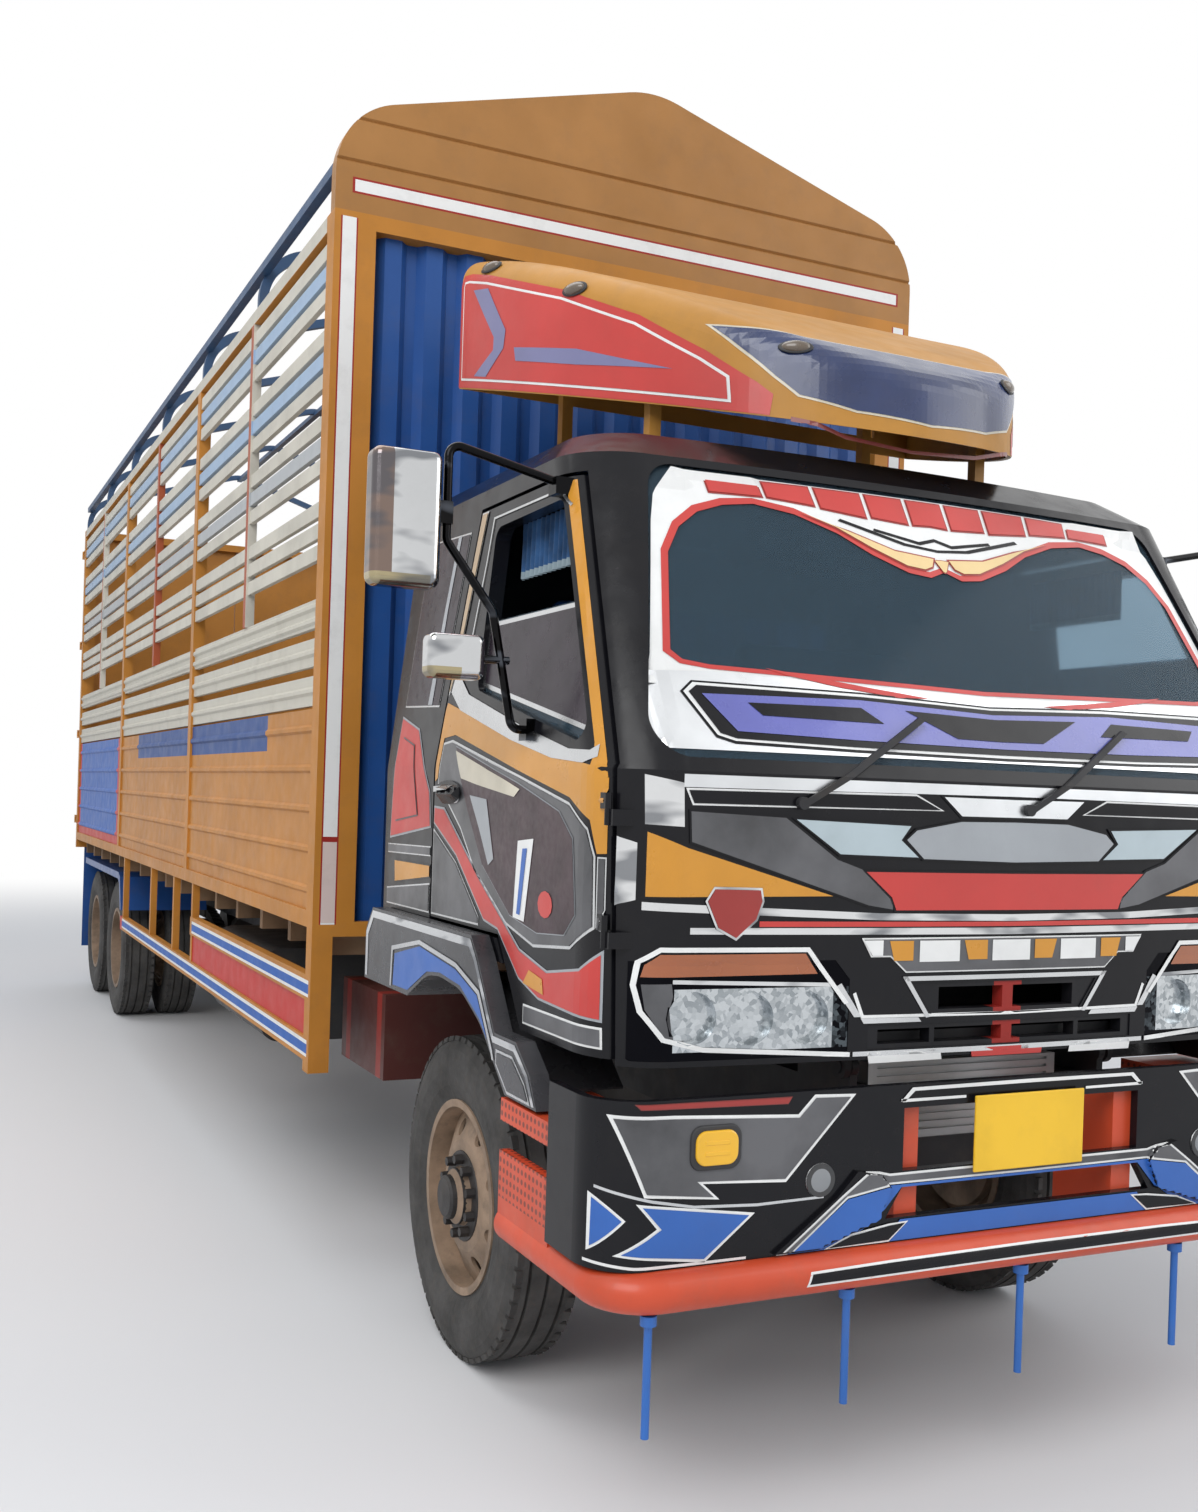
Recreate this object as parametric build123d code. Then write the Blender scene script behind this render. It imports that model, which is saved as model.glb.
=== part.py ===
from build123d import *
from math import asin, cos, degrees, radians, sin, sqrt
import os

# Decorated three-axle cab-over truck with a high slatted cargo body.
# Millimetres. +Z up, the front faces -Y, +X is the driver's left hand.
# Origin: on the ground under the middle of the overall box.
# A "station" is a distance back from the front of the bumper tube.

# Overall plan, by station
BODY_HALF = 1325
BODY_FRONT = 2450
BAY = 2746
BAYS = 3
FRONT_AXLE = 1450
REAR_AXLE = 8862
BOGIE_SPACING = 1311
RUN_GAP = 0.3
CLEAR = 6

# Cargo body heights
BODY_BOTTOM = 1274
BODY_TOP = 3983
EAVE_Z = 4355
RIDGE_Z = 4712
DECK_TOP = 1300
DECK_PLANK = 38

# Rear doors
LEAF_GAP = CLEAR
LEAF_THICK = 40
LEAF_PIN_OUT = 15
LEAF_PIN_SIDE = 12
LEAF_KNUCKLE_R = 12
LEAF_SILL = 26
LEAF_PIN_DEPTH = LEAF_GAP + LEAF_THICK + LEAF_PIN_OUT

BODY_REAR = BODY_FRONT + BAYS * BAY
LENGTH = BODY_REAR + LEAF_PIN_DEPTH + LEAF_KNUCKLE_R

# Wheels
TYRE_R = 510
TYRE_W = 250
BEAD_R = 292
RIM_LIP = 14
RIM_WALL = 10
FRONT_TYRE_OUT = 1100
REAR_TYRE_OUT = 1210
TWIN_GAP = 70
SPINDLE_R = 35
AXLE_Z = TYRE_R
KINGPIN_U = 840
KINGPIN_R = 20
TIE_ARM = 160

# Chassis
RAIL_HALF = 425
RAIL_TOP = 1050
RAIL_HEIGHT = 250
RAIL_FLANGE = 80
RAIL_WALL = 8
RAIL_START = 300

# Cab
CAB_BOTTOM = 1150
CAB_FLOOR_Z = 1330
CAB_STEP_BACK = 640
CAB_WALL = 60
CAB_REAR = 2000
SILL_Z = 1880
TILT_STATION = 250
TILT_Z = 1115
TILT_PIN_R = 18
SHUT_GAP = 12
DOOR_PIN_IN = 14
DOOR_PIN_AHEAD = 10
DOOR_KNUCKLE_R = 9
DOOR_FRONT = 250

# Bumper
BUMPER_HALF = 1260
BUMPER_FACE = 50
BUMPER_WALL = 25
BUMPER_TOP = 1100
TUBE_R = 50
BUMPER_TUBE_Z = 650
BUMPER_BACK = 350
STEP_BACK = 690

# Cab plan sections: height, half width, front station, rear station
CAB_HALF = 1190
CAB_SECTIONS = [
    (CAB_BOTTOM, CAB_HALF, 135, CAB_REAR),
    (SILL_Z, CAB_HALF, 130, CAB_REAR),
    (2760, 1092, 596, CAB_REAR - 12),
    (2850, 1000, 730, CAB_REAR - 42),
]
CAB_CORNER_R = 200
CAB_BOW = 40

# Door outline and window outline in side view: station, height
DOOR_OUTLINE = [
    (DOOR_FRONT, 1165), (720, 1165), (790, 1262), (905, 1408), (1490, 1408),
    (1490, 1900), (1372, 2690), (690, 2690), (262, 1890),
]
WINDOW_OUTLINE = [(352, 1935), (1205, 2120), (1228, 2620), (735, 2628)]
GLASS_TOP = 2330

# Slats: groups of three, from the top down
SLAT_TOP = 3885
SLAT_GROUPS = 4
SLATS_IN_GROUP = 3
SLAT_PITCH = 83
SLAT_HEIGHT = 58
GROUP_PITCH = 328
SLAT_THICK = 22
SLAT_FACE = BODY_HALF - 6

# Ribbed boards: bottom, top, number of ribs
BOARDS = [(1338, 2108, 5), (2120, 2235, 1), (2272, 2380, 1), (2420, 2530, 2)]
BOARD_THICK = 24
RIB_DEPTH = 12
RIB_WIDTH = 34

# Frame members of the cargo body
CORNER_WIDTH = 162
CORNER_DEPTH = 100
POST_WIDTH = 80
POST_DEPTH = 60
SHORT_POST_WIDTH = 56
RAIL_DEEP = 60
REAR_POST_WIDTH = 100
REAR_POST_DEPTH = 80

# Side guard: rail bottom, rail top, rear end station
GUARD_RAILS = [(770, 860, 7690), (1000, 1095, 4990)]
GUARD_POSTS = [4990, 5580, 6410, 7610]
GUARD_BOTTOM = 729
GUARD_THICK = 40

# Steering parts
FIST_HALF = 60
YOKE_HALF = 110
YOKE_SIDE = 45

# Leaf springs
SPRING_U = 385
SPRING_LEAVES = 6
LEAF_T = 12
FRONT_SPRING_HALF = 660
FRONT_SPRING_RISE = 110

# Engine block
ENGINE_FRONT = 1000
ENGINE_BACK = 2250
ENGINE_HALF = 320

# Tanks and boxes beside the rails: outer half width, top
TANK_OUT = BODY_HALF - 145
BOX_OUT = BODY_HALF - 245
TANK_TOP = 1040

# Bumper relief and lamp pockets
BUMPER_MOUTHS = [
    [(-400, 880), (400, 880), (400, 1040), (-400, 1040)],
    [(-450, 762), (450, 762), (400, 838), (-400, 838)],
]
MOUTH_ARM = [
    (-785, 708), (-605, 832), (-545, 892), (-470, 878), (-440, 842), (-476, 762), (-585, 730), (-660, 708),
]
ARM_RELIEF = 12
FOG_X = 955
FOG_Z = 982
FOG_HALF = 62
FOG_RISE = 46
SMALL_LAMP_X = 651
SMALL_LAMP_Z = 877
SMALL_LAMP_R = 42
ROD_STATIONS = (-1120, -560, 0, 560, 1120)

# Openings in the cab's front, seen from ahead: across, height
WINDSCREEN = [(-1085, 1915), (1085, 1915), (905, 2735), (-905, 2735)]
REAR_WINDOW = [(-620, 2080), (620, 2080), (620, 2520), (-620, 2520)]
HEADLAMP = [
    (515, 1165), (1110, 1165), (1160, 1200), (1160, 1385), (1120, 1410), (560, 1410), (515, 1360),
]
HEADLAMP_BOWLS = [(640, 1265, 66), (800, 1265, 66), (960, 1270, 66)]
BOWL_DEPTH = 30
GRILLE_UPPER = [(-315, 1345), (315, 1345), (255, 1262), (-255, 1262)]
GRILLE_LOWER = [(-455, 1238), (455, 1238), (455, 1176), (-455, 1176)]
CAB_WIDE = 1400

# Doors and wipers
DOOR_SWEEP_R = 114
DOOR_HINGE_Z = (1440, 1740)
WIPER_Z = 1809

# Mirrors: arm station, large head and small head as inner, outer, bottom, top
MIRROR_S = 740
BIG_MIRROR = (1470, 1660, 2340, 2700)
SMALL_MIRROR = (1330, 1490, 2110, 2230)

# Roof deflector: plan points as half width and station, side points as station and height
VISOR_NOSE = 550
VISOR_CHEEK = (520, 800)
VISOR_TAIL = (980, 1970)
VISOR_BOTTOM = [(500, 2890), (1990, 3245)]
VISOR_TOP = [(1990, 3710), (1280, 3475), (500, 3050)]
VISOR_STRUT_RISE = 2
VISOR_SOFT = 90
VISOR_WALL = 16
VISOR_BACK_OPENING = (800, 3300, 3540)
VISOR_STRUTS = [(640, 1120), (640, 1800)]

# Wheel-arch flare in side view: station, height
FLARE_OUTER = [
    (2000, 1150), (2000, 1318), (1925, 1400), (960, 1400), (905, 1345), (772, 1172), (757, 1153), (600, 1153),
    (505, 1085), (450, 1000),
]
FLARE_OPENING = [(668, 1000), (755, 1070), (865, 1160), (1035, 1235), (1215, 1250), (1335, 1240), (1525, 1150)]
FLARE_SOFT = 300
FLARE_CORNER = 60
FLARE_SHEET = 12
FLARE_IN = 900
FLARE_OUT = BUMPER_HALF - 10

# Front wall corrugation
WALL_PITCH = 166
WALL_DEPTH = 34
WALL_SHEET = 8

# Gable and roof hoops
RIDGE_SOFT = 18
GABLE_THICK = 60
GABLE_SHOULDER = 300
GABLE_RIDGE_R = 420
GABLE_FOLDS = (EAVE_Z - 20, EAVE_Z - 182)
BOWS = 6
BOW_BAR = 40
BOW_IN = 14
BOW_SHOULDER = 260
BOW_SIDE_Z = 4210
BOW_DROP = 70

# Rear: mudguards, door hinges, underrun bar and tow coupling
GUARD_HANGERS = (8700, 9900)
MUDGUARD_OUT = BODY_HALF - 75
LEAF_HINGE_Z = (1450, 2200, 2980, 3780)
RAIL_END = BODY_REAR - 100
RAIL_END_STEP = 2
UNDERRUN_TOP = 570
UNDERRUN_HALF = 600
TOW_Z = 930
TOW_BORE_R = 38
TOW_BOLT_X = 160
TOW_BOLT_Z = 100
TOW_BOLT_R = 9


def Y(station):
    """Turn a station into the model's Y."""
    return station - LENGTH / 2


def block(x0, x1, s0, s1, z0, z1):
    """A box between two X, two stations and two heights."""
    centre = Pos((x0 + x1) / 2, (Y(s0) + Y(s1)) / 2, (z0 + z1) / 2)
    return centre * Box(abs(x1 - x0), abs(s1 - s0), abs(z1 - z0))


def side_face(outline):
    """A face in side view from (station, height) corners."""
    return Plane.YZ * make_face(Polyline([(Y(s), z) for s, z in outline], close=True))


def side_prism(outline, x0, x1):
    """A side-view outline extruded from x0 to x1."""
    return extrude(Pos(x0, 0, 0) * side_face(outline), x1 - x0, dir=(1, 0, 0))


def front_prism(outline, s0, s1):
    """A front-view outline of (x, height) extruded from s0 back to s1."""
    face = Plane(origin=(0, Y(s1), 0), x_dir=(1, 0, 0), z_dir=(0, -1, 0)) * make_face(
        Polyline(outline, close=True)
    )
    return extrude(face, s1 - s0, dir=(0, -1, 0))


def plan_prism(outline, z0, z1):
    """A plan outline of (x, station) extruded from z0 to z1."""
    face = make_face(Polyline([(x, Y(s)) for x, s in outline], close=True))
    return extrude(Pos(0, 0, z0) * face, z1 - z0, dir=(0, 0, 1))


def across(x0, x1, s, z, r):
    """A cylinder along X."""
    return Pos((x0 + x1) / 2, Y(s), z) * Rot(0, 90, 0) * Cylinder(r, abs(x1 - x0))


def along(s0, s1, x, z, r):
    """A cylinder along Y."""
    return Pos(x, (Y(s0) + Y(s1)) / 2, z) * Rot(90, 0, 0) * Cylinder(r, abs(s1 - s0))


def upright(z0, z1, x, s, r):
    """A cylinder along Z."""
    return Pos(x, Y(s), (z0 + z1) / 2) * Cylinder(r, z1 - z0)


def other_side(shape):
    """The mirror image across the truck's middle."""
    return mirror(shape, about=Plane.YZ)


def both(shape):
    """A shape and its mirror image as separate solids."""
    return list(shape.solids()) + list(other_side(shape).solids())


def joined(pieces):
    """All pieces fused into one shape."""
    whole = pieces[0]
    return whole.fuse(*pieces[1:]) if len(pieces) > 1 else whole


def save(node, shape):
    """Write one node, a shape or a list of separate solids."""
    solids = []
    for item in shape if isinstance(shape, (list, tuple)) else [shape]:
        solids.extend(item.solids())
    export_step(solids[0] if len(solids) == 1 else Compound(children=solids), f"parts/{node}.step")


# Wheels

def turned(profile, side):
    """Spin a (distance from the middle plane, radius) profile about the axle line."""
    face = make_face(Polyline([(side * u, r) for u, r in profile], close=True))
    return revolve(face, Axis.X)


def at_axle(shape, station):
    """Move a shape made about the X axis to an axle."""
    return Pos(0, Y(station), AXLE_Z) * shape


def tyre(outer, side):
    """One tyre whose outer wall is at the given distance from the middle."""
    mid = outer - TYRE_W / 2
    half = TYRE_W / 2
    bead = half * 0.8
    profile = [
        (mid - bead, BEAD_R + RUN_GAP), (mid - bead, BEAD_R + RIM_LIP + 4), (mid - half, 396),
        (mid - half + 6, 462), (mid - half + 26, 500), (mid - half + 60, TYRE_R), (mid + half - 60, TYRE_R),
        (mid + half - 26, 500), (mid + half - 6, 462), (mid + half, 396), (mid + bead, BEAD_R + RIM_LIP + 4),
        (mid + bead, BEAD_R + RUN_GAP),
    ]
    return turned(profile, side)


def barrel(outer, side):
    """A rim's barrel with its two lips."""
    mid = outer - TYRE_W / 2
    bead = TYRE_W / 2 * 0.8 + RUN_GAP
    lip = bead + 8
    inner = BEAD_R - RIM_WALL
    profile = [
        (mid - lip, inner), (mid - lip, BEAD_R + RIM_LIP), (mid - bead, BEAD_R + RIM_LIP), (mid - bead, BEAD_R),
        (mid + bead, BEAD_R), (mid + bead, BEAD_R + RIM_LIP), (mid + lip, BEAD_R + RIM_LIP), (mid + lip, inner),
    ]
    return turned(profile, side)


def hand_holes(disc, side, u0, u1):
    """Cut the ring of hand holes through a wheel disc."""
    for i in range(8):
        a = radians(45 * i + 22.5)
        hole = Pos(side * (u0 + u1) / 2, 218 * sin(a), 218 * cos(a)) * Rot(0, 90, 0) * Cylinder(27, u1 - u0)
        disc = disc - hole
    return disc


def front_rim(side):
    """A front wheel's rim, dished disc and hub."""
    mid = FRONT_TYRE_OUT - TYRE_W / 2
    wall = BEAD_R - RIM_WALL
    bore = SPINDLE_R + RUN_GAP
    disc = turned([(mid + 22, wall + 4), (mid + 36, wall + 4), (mid + 88, 176), (mid + 92, 130), (mid + 92, 90),
                   (mid + 78, 90), (mid + 78, 176), (mid + 74, 180)], side)
    disc = hand_holes(disc, side, mid + 10, mid + 100)
    hub = turned([(mid - 64, bore), (mid - 64, 205), (mid - 20, 205), (mid - 8, 112), (mid + 84, 112),
                  (mid + 96, 92), (mid + 118, 88), (mid + 140, 62), (mid + 140, 0), (mid + 112, 0),
                  (mid + 112, bore)], side)
    return at_axle(joined([barrel(FRONT_TYRE_OUT, side), disc, hub]), FRONT_AXLE)


def twin_rims(side, station):
    """The two rims of a twin wheel with back-to-back discs and the hub."""
    outer_mid = REAR_TYRE_OUT - TYRE_W / 2
    inner_mid = outer_mid - TYRE_W - TWIN_GAP
    seat = (outer_mid + inner_mid) / 2
    wall = BEAD_R - RIM_WALL
    bore = SPINDLE_R + RUN_GAP
    lip = wall + 4
    discs = turned([(seat - 12, 90), (seat - 12, 168), (seat - 114, lip), (seat - 98, lip), (seat, 184),
                    (seat + 98, lip), (seat + 114, lip), (seat + 12, 168), (seat + 12, 90)], side)
    discs = hand_holes(discs, side, inner_mid, outer_mid)
    hub = turned([(inner_mid - 60, bore), (inner_mid - 60, 205), (seat - 30, 205), (seat - 14, 112),
                  (seat + 20, 112), (seat + 90, 96), (seat + 104, 78), (seat + 104, 0), (seat + 60, 0),
                  (seat + 60, bore)], side)
    rims = [barrel(REAR_TYRE_OUT, side), barrel(REAR_TYRE_OUT - TYRE_W - TWIN_GAP, side)]
    return at_axle(joined(rims + [discs, hub]), station)


def make_wheels():
    """Tyres and rims of all three axles."""
    for name, side in (("right", -1), ("left", 1)):
        save(f"tyre_front_{name}", at_axle(tyre(FRONT_TYRE_OUT, side), FRONT_AXLE))
        save(f"rim_front_{name}", front_rim(side))
        for number in (2, 3):
            station = REAR_AXLE + (number - 2) * BOGIE_SPACING
            pair = [tyre(REAR_TYRE_OUT, side), tyre(REAR_TYRE_OUT - TYRE_W - TWIN_GAP, side)]
            save(f"tyres_axle{number}_{name}", [at_axle(t, station) for t in pair])
            save(f"rims_axle{number}_{name}", twin_rims(side, station))


# Axles, knuckles and springs


def front_beam():
    """The forged front axle beam, dropped in the middle, with its kingpin fists."""
    low = AXLE_Z - 130
    under, over = AXLE_Z - 55, AXLE_Z + 50
    outline = [(-800, under), (-760, under), (-560, low), (560, low), (760, under), (800, under),
               (800, over), (740, over), (540, low + 80), (-540, low + 80), (-740, over), (-800, over)]
    beam = front_prism(outline, FRONT_AXLE - 38, FRONT_AXLE + 38)
    groove = [(-700, AXLE_Z - 10), (-552, low + 18), (552, low + 18),
              (700, AXLE_Z - 10), (540, low + 62), (-540, low + 62)]
    beam = beam - front_prism(groove, FRONT_AXLE - 38, FRONT_AXLE - 14)
    beam = beam - front_prism(groove, FRONT_AXLE + 14, FRONT_AXLE + 38)
    s0, s1 = FRONT_AXLE - 60, FRONT_AXLE + 60
    pads = [block(x - 50, x + 50, s0, s1, low + 80, low + 96) for x in (-SPRING_U, SPRING_U)]
    z0, z1 = AXLE_Z - FIST_HALF, AXLE_Z + FIST_HALF
    fists = [upright(z0, z1, x, FRONT_AXLE, 42) for x in (-KINGPIN_U, KINGPIN_U)]
    beam = joined([beam] + pads + fists)
    for x in (-KINGPIN_U, KINGPIN_U):
        beam = beam - upright(AXLE_Z - 200, AXLE_Z + 200, x, FRONT_AXLE, KINGPIN_R + RUN_GAP)
    return beam


def knuckle():
    """The left steering knuckle: yoke, kingpin, spindle and tie-rod arm."""
    u = KINGPIN_U
    slot = FIST_HALF + RUN_GAP
    s0, s1 = FRONT_AXLE - YOKE_SIDE, FRONT_AXLE + YOKE_SIDE
    mid = FRONT_TYRE_OUT - TYRE_W / 2
    upper = block(u - 45, u + 66, s0, s1, AXLE_Z + slot, AXLE_Z + YOKE_HALF)
    lower = block(u - 45, u + 66, s0, s1, AXLE_Z - YOKE_HALF, AXLE_Z - slot)
    web = block(u + 46, u + 66, s0, s1, AXLE_Z - YOKE_HALF, AXLE_Z + YOKE_HALF)
    pin = upright(AXLE_Z - YOKE_HALF - 12, AXLE_Z + YOKE_HALF + 12, u, FRONT_AXLE, KINGPIN_R)
    spindle = across(u + 60, mid + 110, FRONT_AXLE, AXLE_Z, SPINDLE_R)
    arm_z = AXLE_Z - YOKE_HALF
    arm = block(u - 22, u + 22, FRONT_AXLE + 20, FRONT_AXLE + TIE_ARM, arm_z, arm_z + 30)
    eye = upright(arm_z, arm_z + 30, u, FRONT_AXLE + TIE_ARM, 26)
    ball = upright(arm_z - 44, arm_z + 1, u, FRONT_AXLE + TIE_ARM, 11)
    return joined([upper, lower, web, pin, spindle, arm, eye, ball])


def tie_rod():
    """The tie rod behind the axle, an eye at each end round the arms' pins."""
    z1 = AXLE_Z - YOKE_HALF - 4
    z0 = z1 - 36
    s = FRONT_AXLE + TIE_ARM
    rod = across(-KINGPIN_U + 20, KINGPIN_U - 20, s, (z0 + z1) / 2, 16)
    eyes = [upright(z0, z1, x, s, 26) for x in (-KINGPIN_U, KINGPIN_U)]
    whole = joined([rod] + eyes)
    for x in (-KINGPIN_U, KINGPIN_U):
        whole = whole - upright(z0 - 5, z1 + 5, x, s, 11 + RUN_GAP)
    return whole


def leaf_pack(station, half, z_mid, rise, leaves):
    """A stack of curved leaves in side view, each shorter than the one before it.

    A positive rise turns the ends up and stacks the short leaves below; a
    negative one turns them down and stacks the short leaves above.
    """
    way = 1 if rise > 0 else -1
    radius = (half * half + rise * rise) / (2 * abs(rise))
    pieces = []
    for i in range(leaves):
        reach = half * (1 - 0.13 * i)
        near = radius + (i - 1) * LEAF_T
        far = near + LEAF_T
        a = asin(reach / far)
        zc = z_mid + way * radius
        points = []
        for r, sign in ((near, -1), (far, 1)):
            ends = [(Y(station) + sign * r * sin(a), zc - way * r * cos(a))]
            ends.append((Y(station), zc - way * r))
            ends.append((Y(station) - sign * r * sin(a), zc - way * r * cos(a)))
            points.append(ends)
        inner, outer = points
        edges = [ThreePointArc(*inner), Line(inner[2], outer[0])]
        edges += [ThreePointArc(*outer), Line(outer[2], inner[0])]
        face = Plane.YZ * make_face(edges)
        pieces.append(extrude(Pos(SPRING_U - 38, 0, 0) * face, 76, dir=(1, 0, 0)))
    return joined(pieces)


def springs():
    """Front and bogie leaf packs with their hangers, one of each per side."""
    front_mid = AXLE_Z - 130 + 96 + SPRING_LEAVES * LEAF_T - LEAF_T
    rail_bottom = RAIL_TOP - RAIL_HEIGHT
    pack = leaf_pack(FRONT_AXLE, FRONT_SPRING_HALF, front_mid, FRONT_SPRING_RISE, SPRING_LEAVES)
    hangers = []
    for s in (FRONT_AXLE - FRONT_SPRING_HALF, FRONT_AXLE + FRONT_SPRING_HALF):
        eye = front_mid + FRONT_SPRING_RISE - 30
        hangers.append(block(SPRING_U - 38, SPRING_U + 38, s - 45, s + 45, eye, rail_bottom))
    s0, s1 = FRONT_AXLE - 70, FRONT_AXLE + 70
    clamp = block(SPRING_U - 46, SPRING_U + 46, s0, s1, front_mid - 20, front_mid + 40)
    front = joined([pack, clamp] + hangers)
    trim = block(SPRING_U - 60, SPRING_U + 60, FRONT_AXLE - 80, FRONT_AXLE + 80, 0, AXLE_Z - 130 + 96)
    front = front - trim
    mid = REAR_AXLE + BOGIE_SPACING / 2
    bogie = leaf_pack(mid, BOGIE_SPACING / 2 + 40, 700, -60, 7)
    trunnion = block(SPRING_U - 46, SPRING_U + 46, mid - 130, mid + 130, 690, rail_bottom)
    return both(front) + both(joined([bogie, trunnion]))


def rear_axles():
    """Two driven axle housings with spindles and centre drums, and the shafts between."""
    solids = []
    inner_mid = REAR_TYRE_OUT - TYRE_W * 1.5 - TWIN_GAP
    spindle_end = inner_mid + (TYRE_W + TWIN_GAP) / 2 + 55
    for station in (REAR_AXLE, REAR_AXLE + BOGIE_SPACING):
        tube = across(-inner_mid + 66, inner_mid - 66, station, AXLE_Z, 68)
        spindles = across(-spindle_end, spindle_end, station, AXLE_Z, SPINDLE_R)
        bowl = across(-120, 120, station, AXLE_Z, 205)
        nose = along(station - 330, station, 0, AXLE_Z + 40, 95)
        saddles = [block(x - 50, x + 50, station - 60, station + 60, AXLE_Z + 20, bogie_seat_z())
                   for x in (-SPRING_U, SPRING_U)]
        solids.append(joined([tube, spindles, bowl, nose] + saddles))
    return solids


def bogie_seat_z():
    """Underside height of the bogie spring over an axle."""
    half = BOGIE_SPACING / 2 + 40
    radius = (half * half + 60 * 60) / 120
    reach = BOGIE_SPACING / 2 + 60
    low = radius - LEAF_T
    return 700 - radius + sqrt(low * low - reach * reach) - 1


def propeller_shafts():
    """Shaft from the gearbox to the first rear axle in two lengths, and the link to the second."""
    first = along(ENGINE_BACK, 5600, 0, AXLE_Z + 260, 52)
    ring = along(5560, 5640, 0, AXLE_Z + 260, 84)
    bearing = block(-RAIL_HALF + RAIL_WALL, RAIL_HALF - RAIL_WALL, 5580, 5620, AXLE_Z + 330, AXLE_Z + 380)
    start = Vector(0, Y(5640), AXLE_Z + 260)
    stop = Vector(0, Y(REAR_AXLE - 330), AXLE_Z + 40)
    run = stop - start
    second = Solid.make_cylinder(52, run.length, Plane(origin=start, z_dir=run))
    reach = block(-400, 400, REAR_AXLE - 330, REAR_AXLE, 0, 1000)
    return joined([first, ring, bearing]), second - reach


# Chassis


def chassis_frame():
    """Two channel rails with crossmembers, the cab's rear support and tilt brackets."""
    bottom = RAIL_TOP - RAIL_HEIGHT
    web = block(RAIL_HALF - RAIL_WALL, RAIL_HALF, RAIL_START, RAIL_END, bottom, RAIL_TOP)
    top = block(RAIL_HALF - RAIL_FLANGE, RAIL_HALF, RAIL_START, RAIL_END, RAIL_TOP - RAIL_WALL, RAIL_TOP)
    low = block(RAIL_HALF - RAIL_FLANGE, RAIL_HALF, RAIL_START, RAIL_END, bottom, bottom + RAIL_WALL)
    rails = [web, top, low]
    rails += [other_side(r) for r in rails]
    cross = []
    for s in (2400, 4200, 6900, 8300, REAR_AXLE + BOGIE_SPACING / 2):
        cross.append(block(-RAIL_HALF + 4, RAIL_HALF - 4, s - 30, s + 30, bottom + 48, RAIL_TOP - 48))
    half, stop = RAIL_HALF - 4, RAIL_END - RAIL_END_STEP
    last = block(-half, half, RAIL_END - 60, stop, bottom + 48, RAIL_TOP - 48)
    for hole in tow_holes(RAIL_END - 70, RAIL_END + 10):
        last = last - hole
    cross.append(last)
    cross.append(block(-RAIL_HALF + 4, RAIL_HALF - 4, RAIL_START, RAIL_START + 60, bottom + 8, bottom + 90))
    s = CAB_REAR - 120
    arch = [block(-640, 640, s, s + 70, CAB_FLOOR_Z - 70, CAB_FLOOR_Z - RUN_GAP)]
    for x in (-RAIL_HALF, RAIL_HALF - 60):
        arch.append(block(x, x + 60, s, s + 70, RAIL_TOP - 60, CAB_FLOOR_Z - 60))
    tilt = []
    for side in (-1, 1):
        x0, x1 = side * (RAIL_HALF - 4), side * (RAIL_HALF + 18)
        tilt.append(block(x0, x1, TILT_STATION - 20, RAIL_START + 180, bottom + 70, TILT_Z - 4))
        tilt.append(across(x0, x1, TILT_STATION, TILT_Z, 30))
        tilt.append(across(side * (RAIL_HALF + 10), side * (RAIL_HALF + 48), TILT_STATION, TILT_Z, TILT_PIN_R))
    return joined(rails + cross + arch + tilt)


def engine_block():
    """The engine and gearbox as one plain block with its sump."""
    motor = block(-ENGINE_HALF, ENGINE_HALF, ENGINE_FRONT, ENGINE_BACK, 640, 1240)
    sump = block(-200, 200, ENGINE_FRONT + 40, ENGINE_FRONT + 230, 560, 645)
    web = RAIL_HALF - RAIL_WALL
    feet = [block(-web, web, s, s + 80, 900, 950) for s in (ENGINE_FRONT + 250, ENGINE_BACK - 200)]
    return joined([motor, sump] + feet)


def radiator():
    """The radiator behind the grille, seated on the front crossmember."""
    bottom = RAIL_TOP - RAIL_HEIGHT + 90
    core = block(-330, 330, RAIL_START + 5, RAIL_START + 85, bottom, 1105)
    for i in range(9):
        z = bottom + 22 + i * 22
        core = core - block(-300, 300, RAIL_START + 5, RAIL_START + 15, z, z + 8)
    return core


def tanks():
    """Fuel tank and tool box on the right, battery box and air tanks on the left."""
    inner = RAIL_HALF
    tank = block(-TANK_OUT, -inner - 40, 3900, 5050, 600, TANK_TOP)
    tank = fillet(tank.edges().filter_by(Axis.Y), 90)
    straps = [block(-TANK_OUT - 6, -inner, s, s + 60, 700, 940) for s in (4080, 4820)]
    fuel = joined([tank] + straps)
    box = joined([block(inner + 40, BOX_OUT, 2950, 3600, 640, 1030),
                  block(inner, inner + 45, 3050, 3500, 820, 980)])
    tools = joined([block(-BOX_OUT, -inner - 40, 2290, 2860, 720, TANK_TOP),
                    block(-inner - 45, -inner, 2360, 2790, 820, 980)])
    air = [along(4000, 4900, x, 760, 120) for x in (690, 950)]
    saddle = [block(inner, BOX_OUT - 40, s, s + 50, 870, 930) for s in (4120, 4730)]
    return [fuel, box, tools, joined(air + saddle)]


# Bumper group

def bumper_plan(half, face, corner, back):
    """Plan outline of the bumper's outer or inner wall."""
    line = Polyline([(-half, Y(back)), (-half, Y(face + corner))])
    arc_a = RadiusArc((-half, Y(face + corner)), (-half + corner, Y(face)), -corner)
    front = Line((-half + corner, Y(face)), (half - corner, Y(face)))
    arc_b = RadiusArc((half - corner, Y(face)), (half, Y(face + corner)), -corner)
    other = Polyline([(half, Y(face + corner)), (half, Y(back)), (-half, Y(back))])
    return make_face([line, arc_a, front, arc_b, other])


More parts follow.
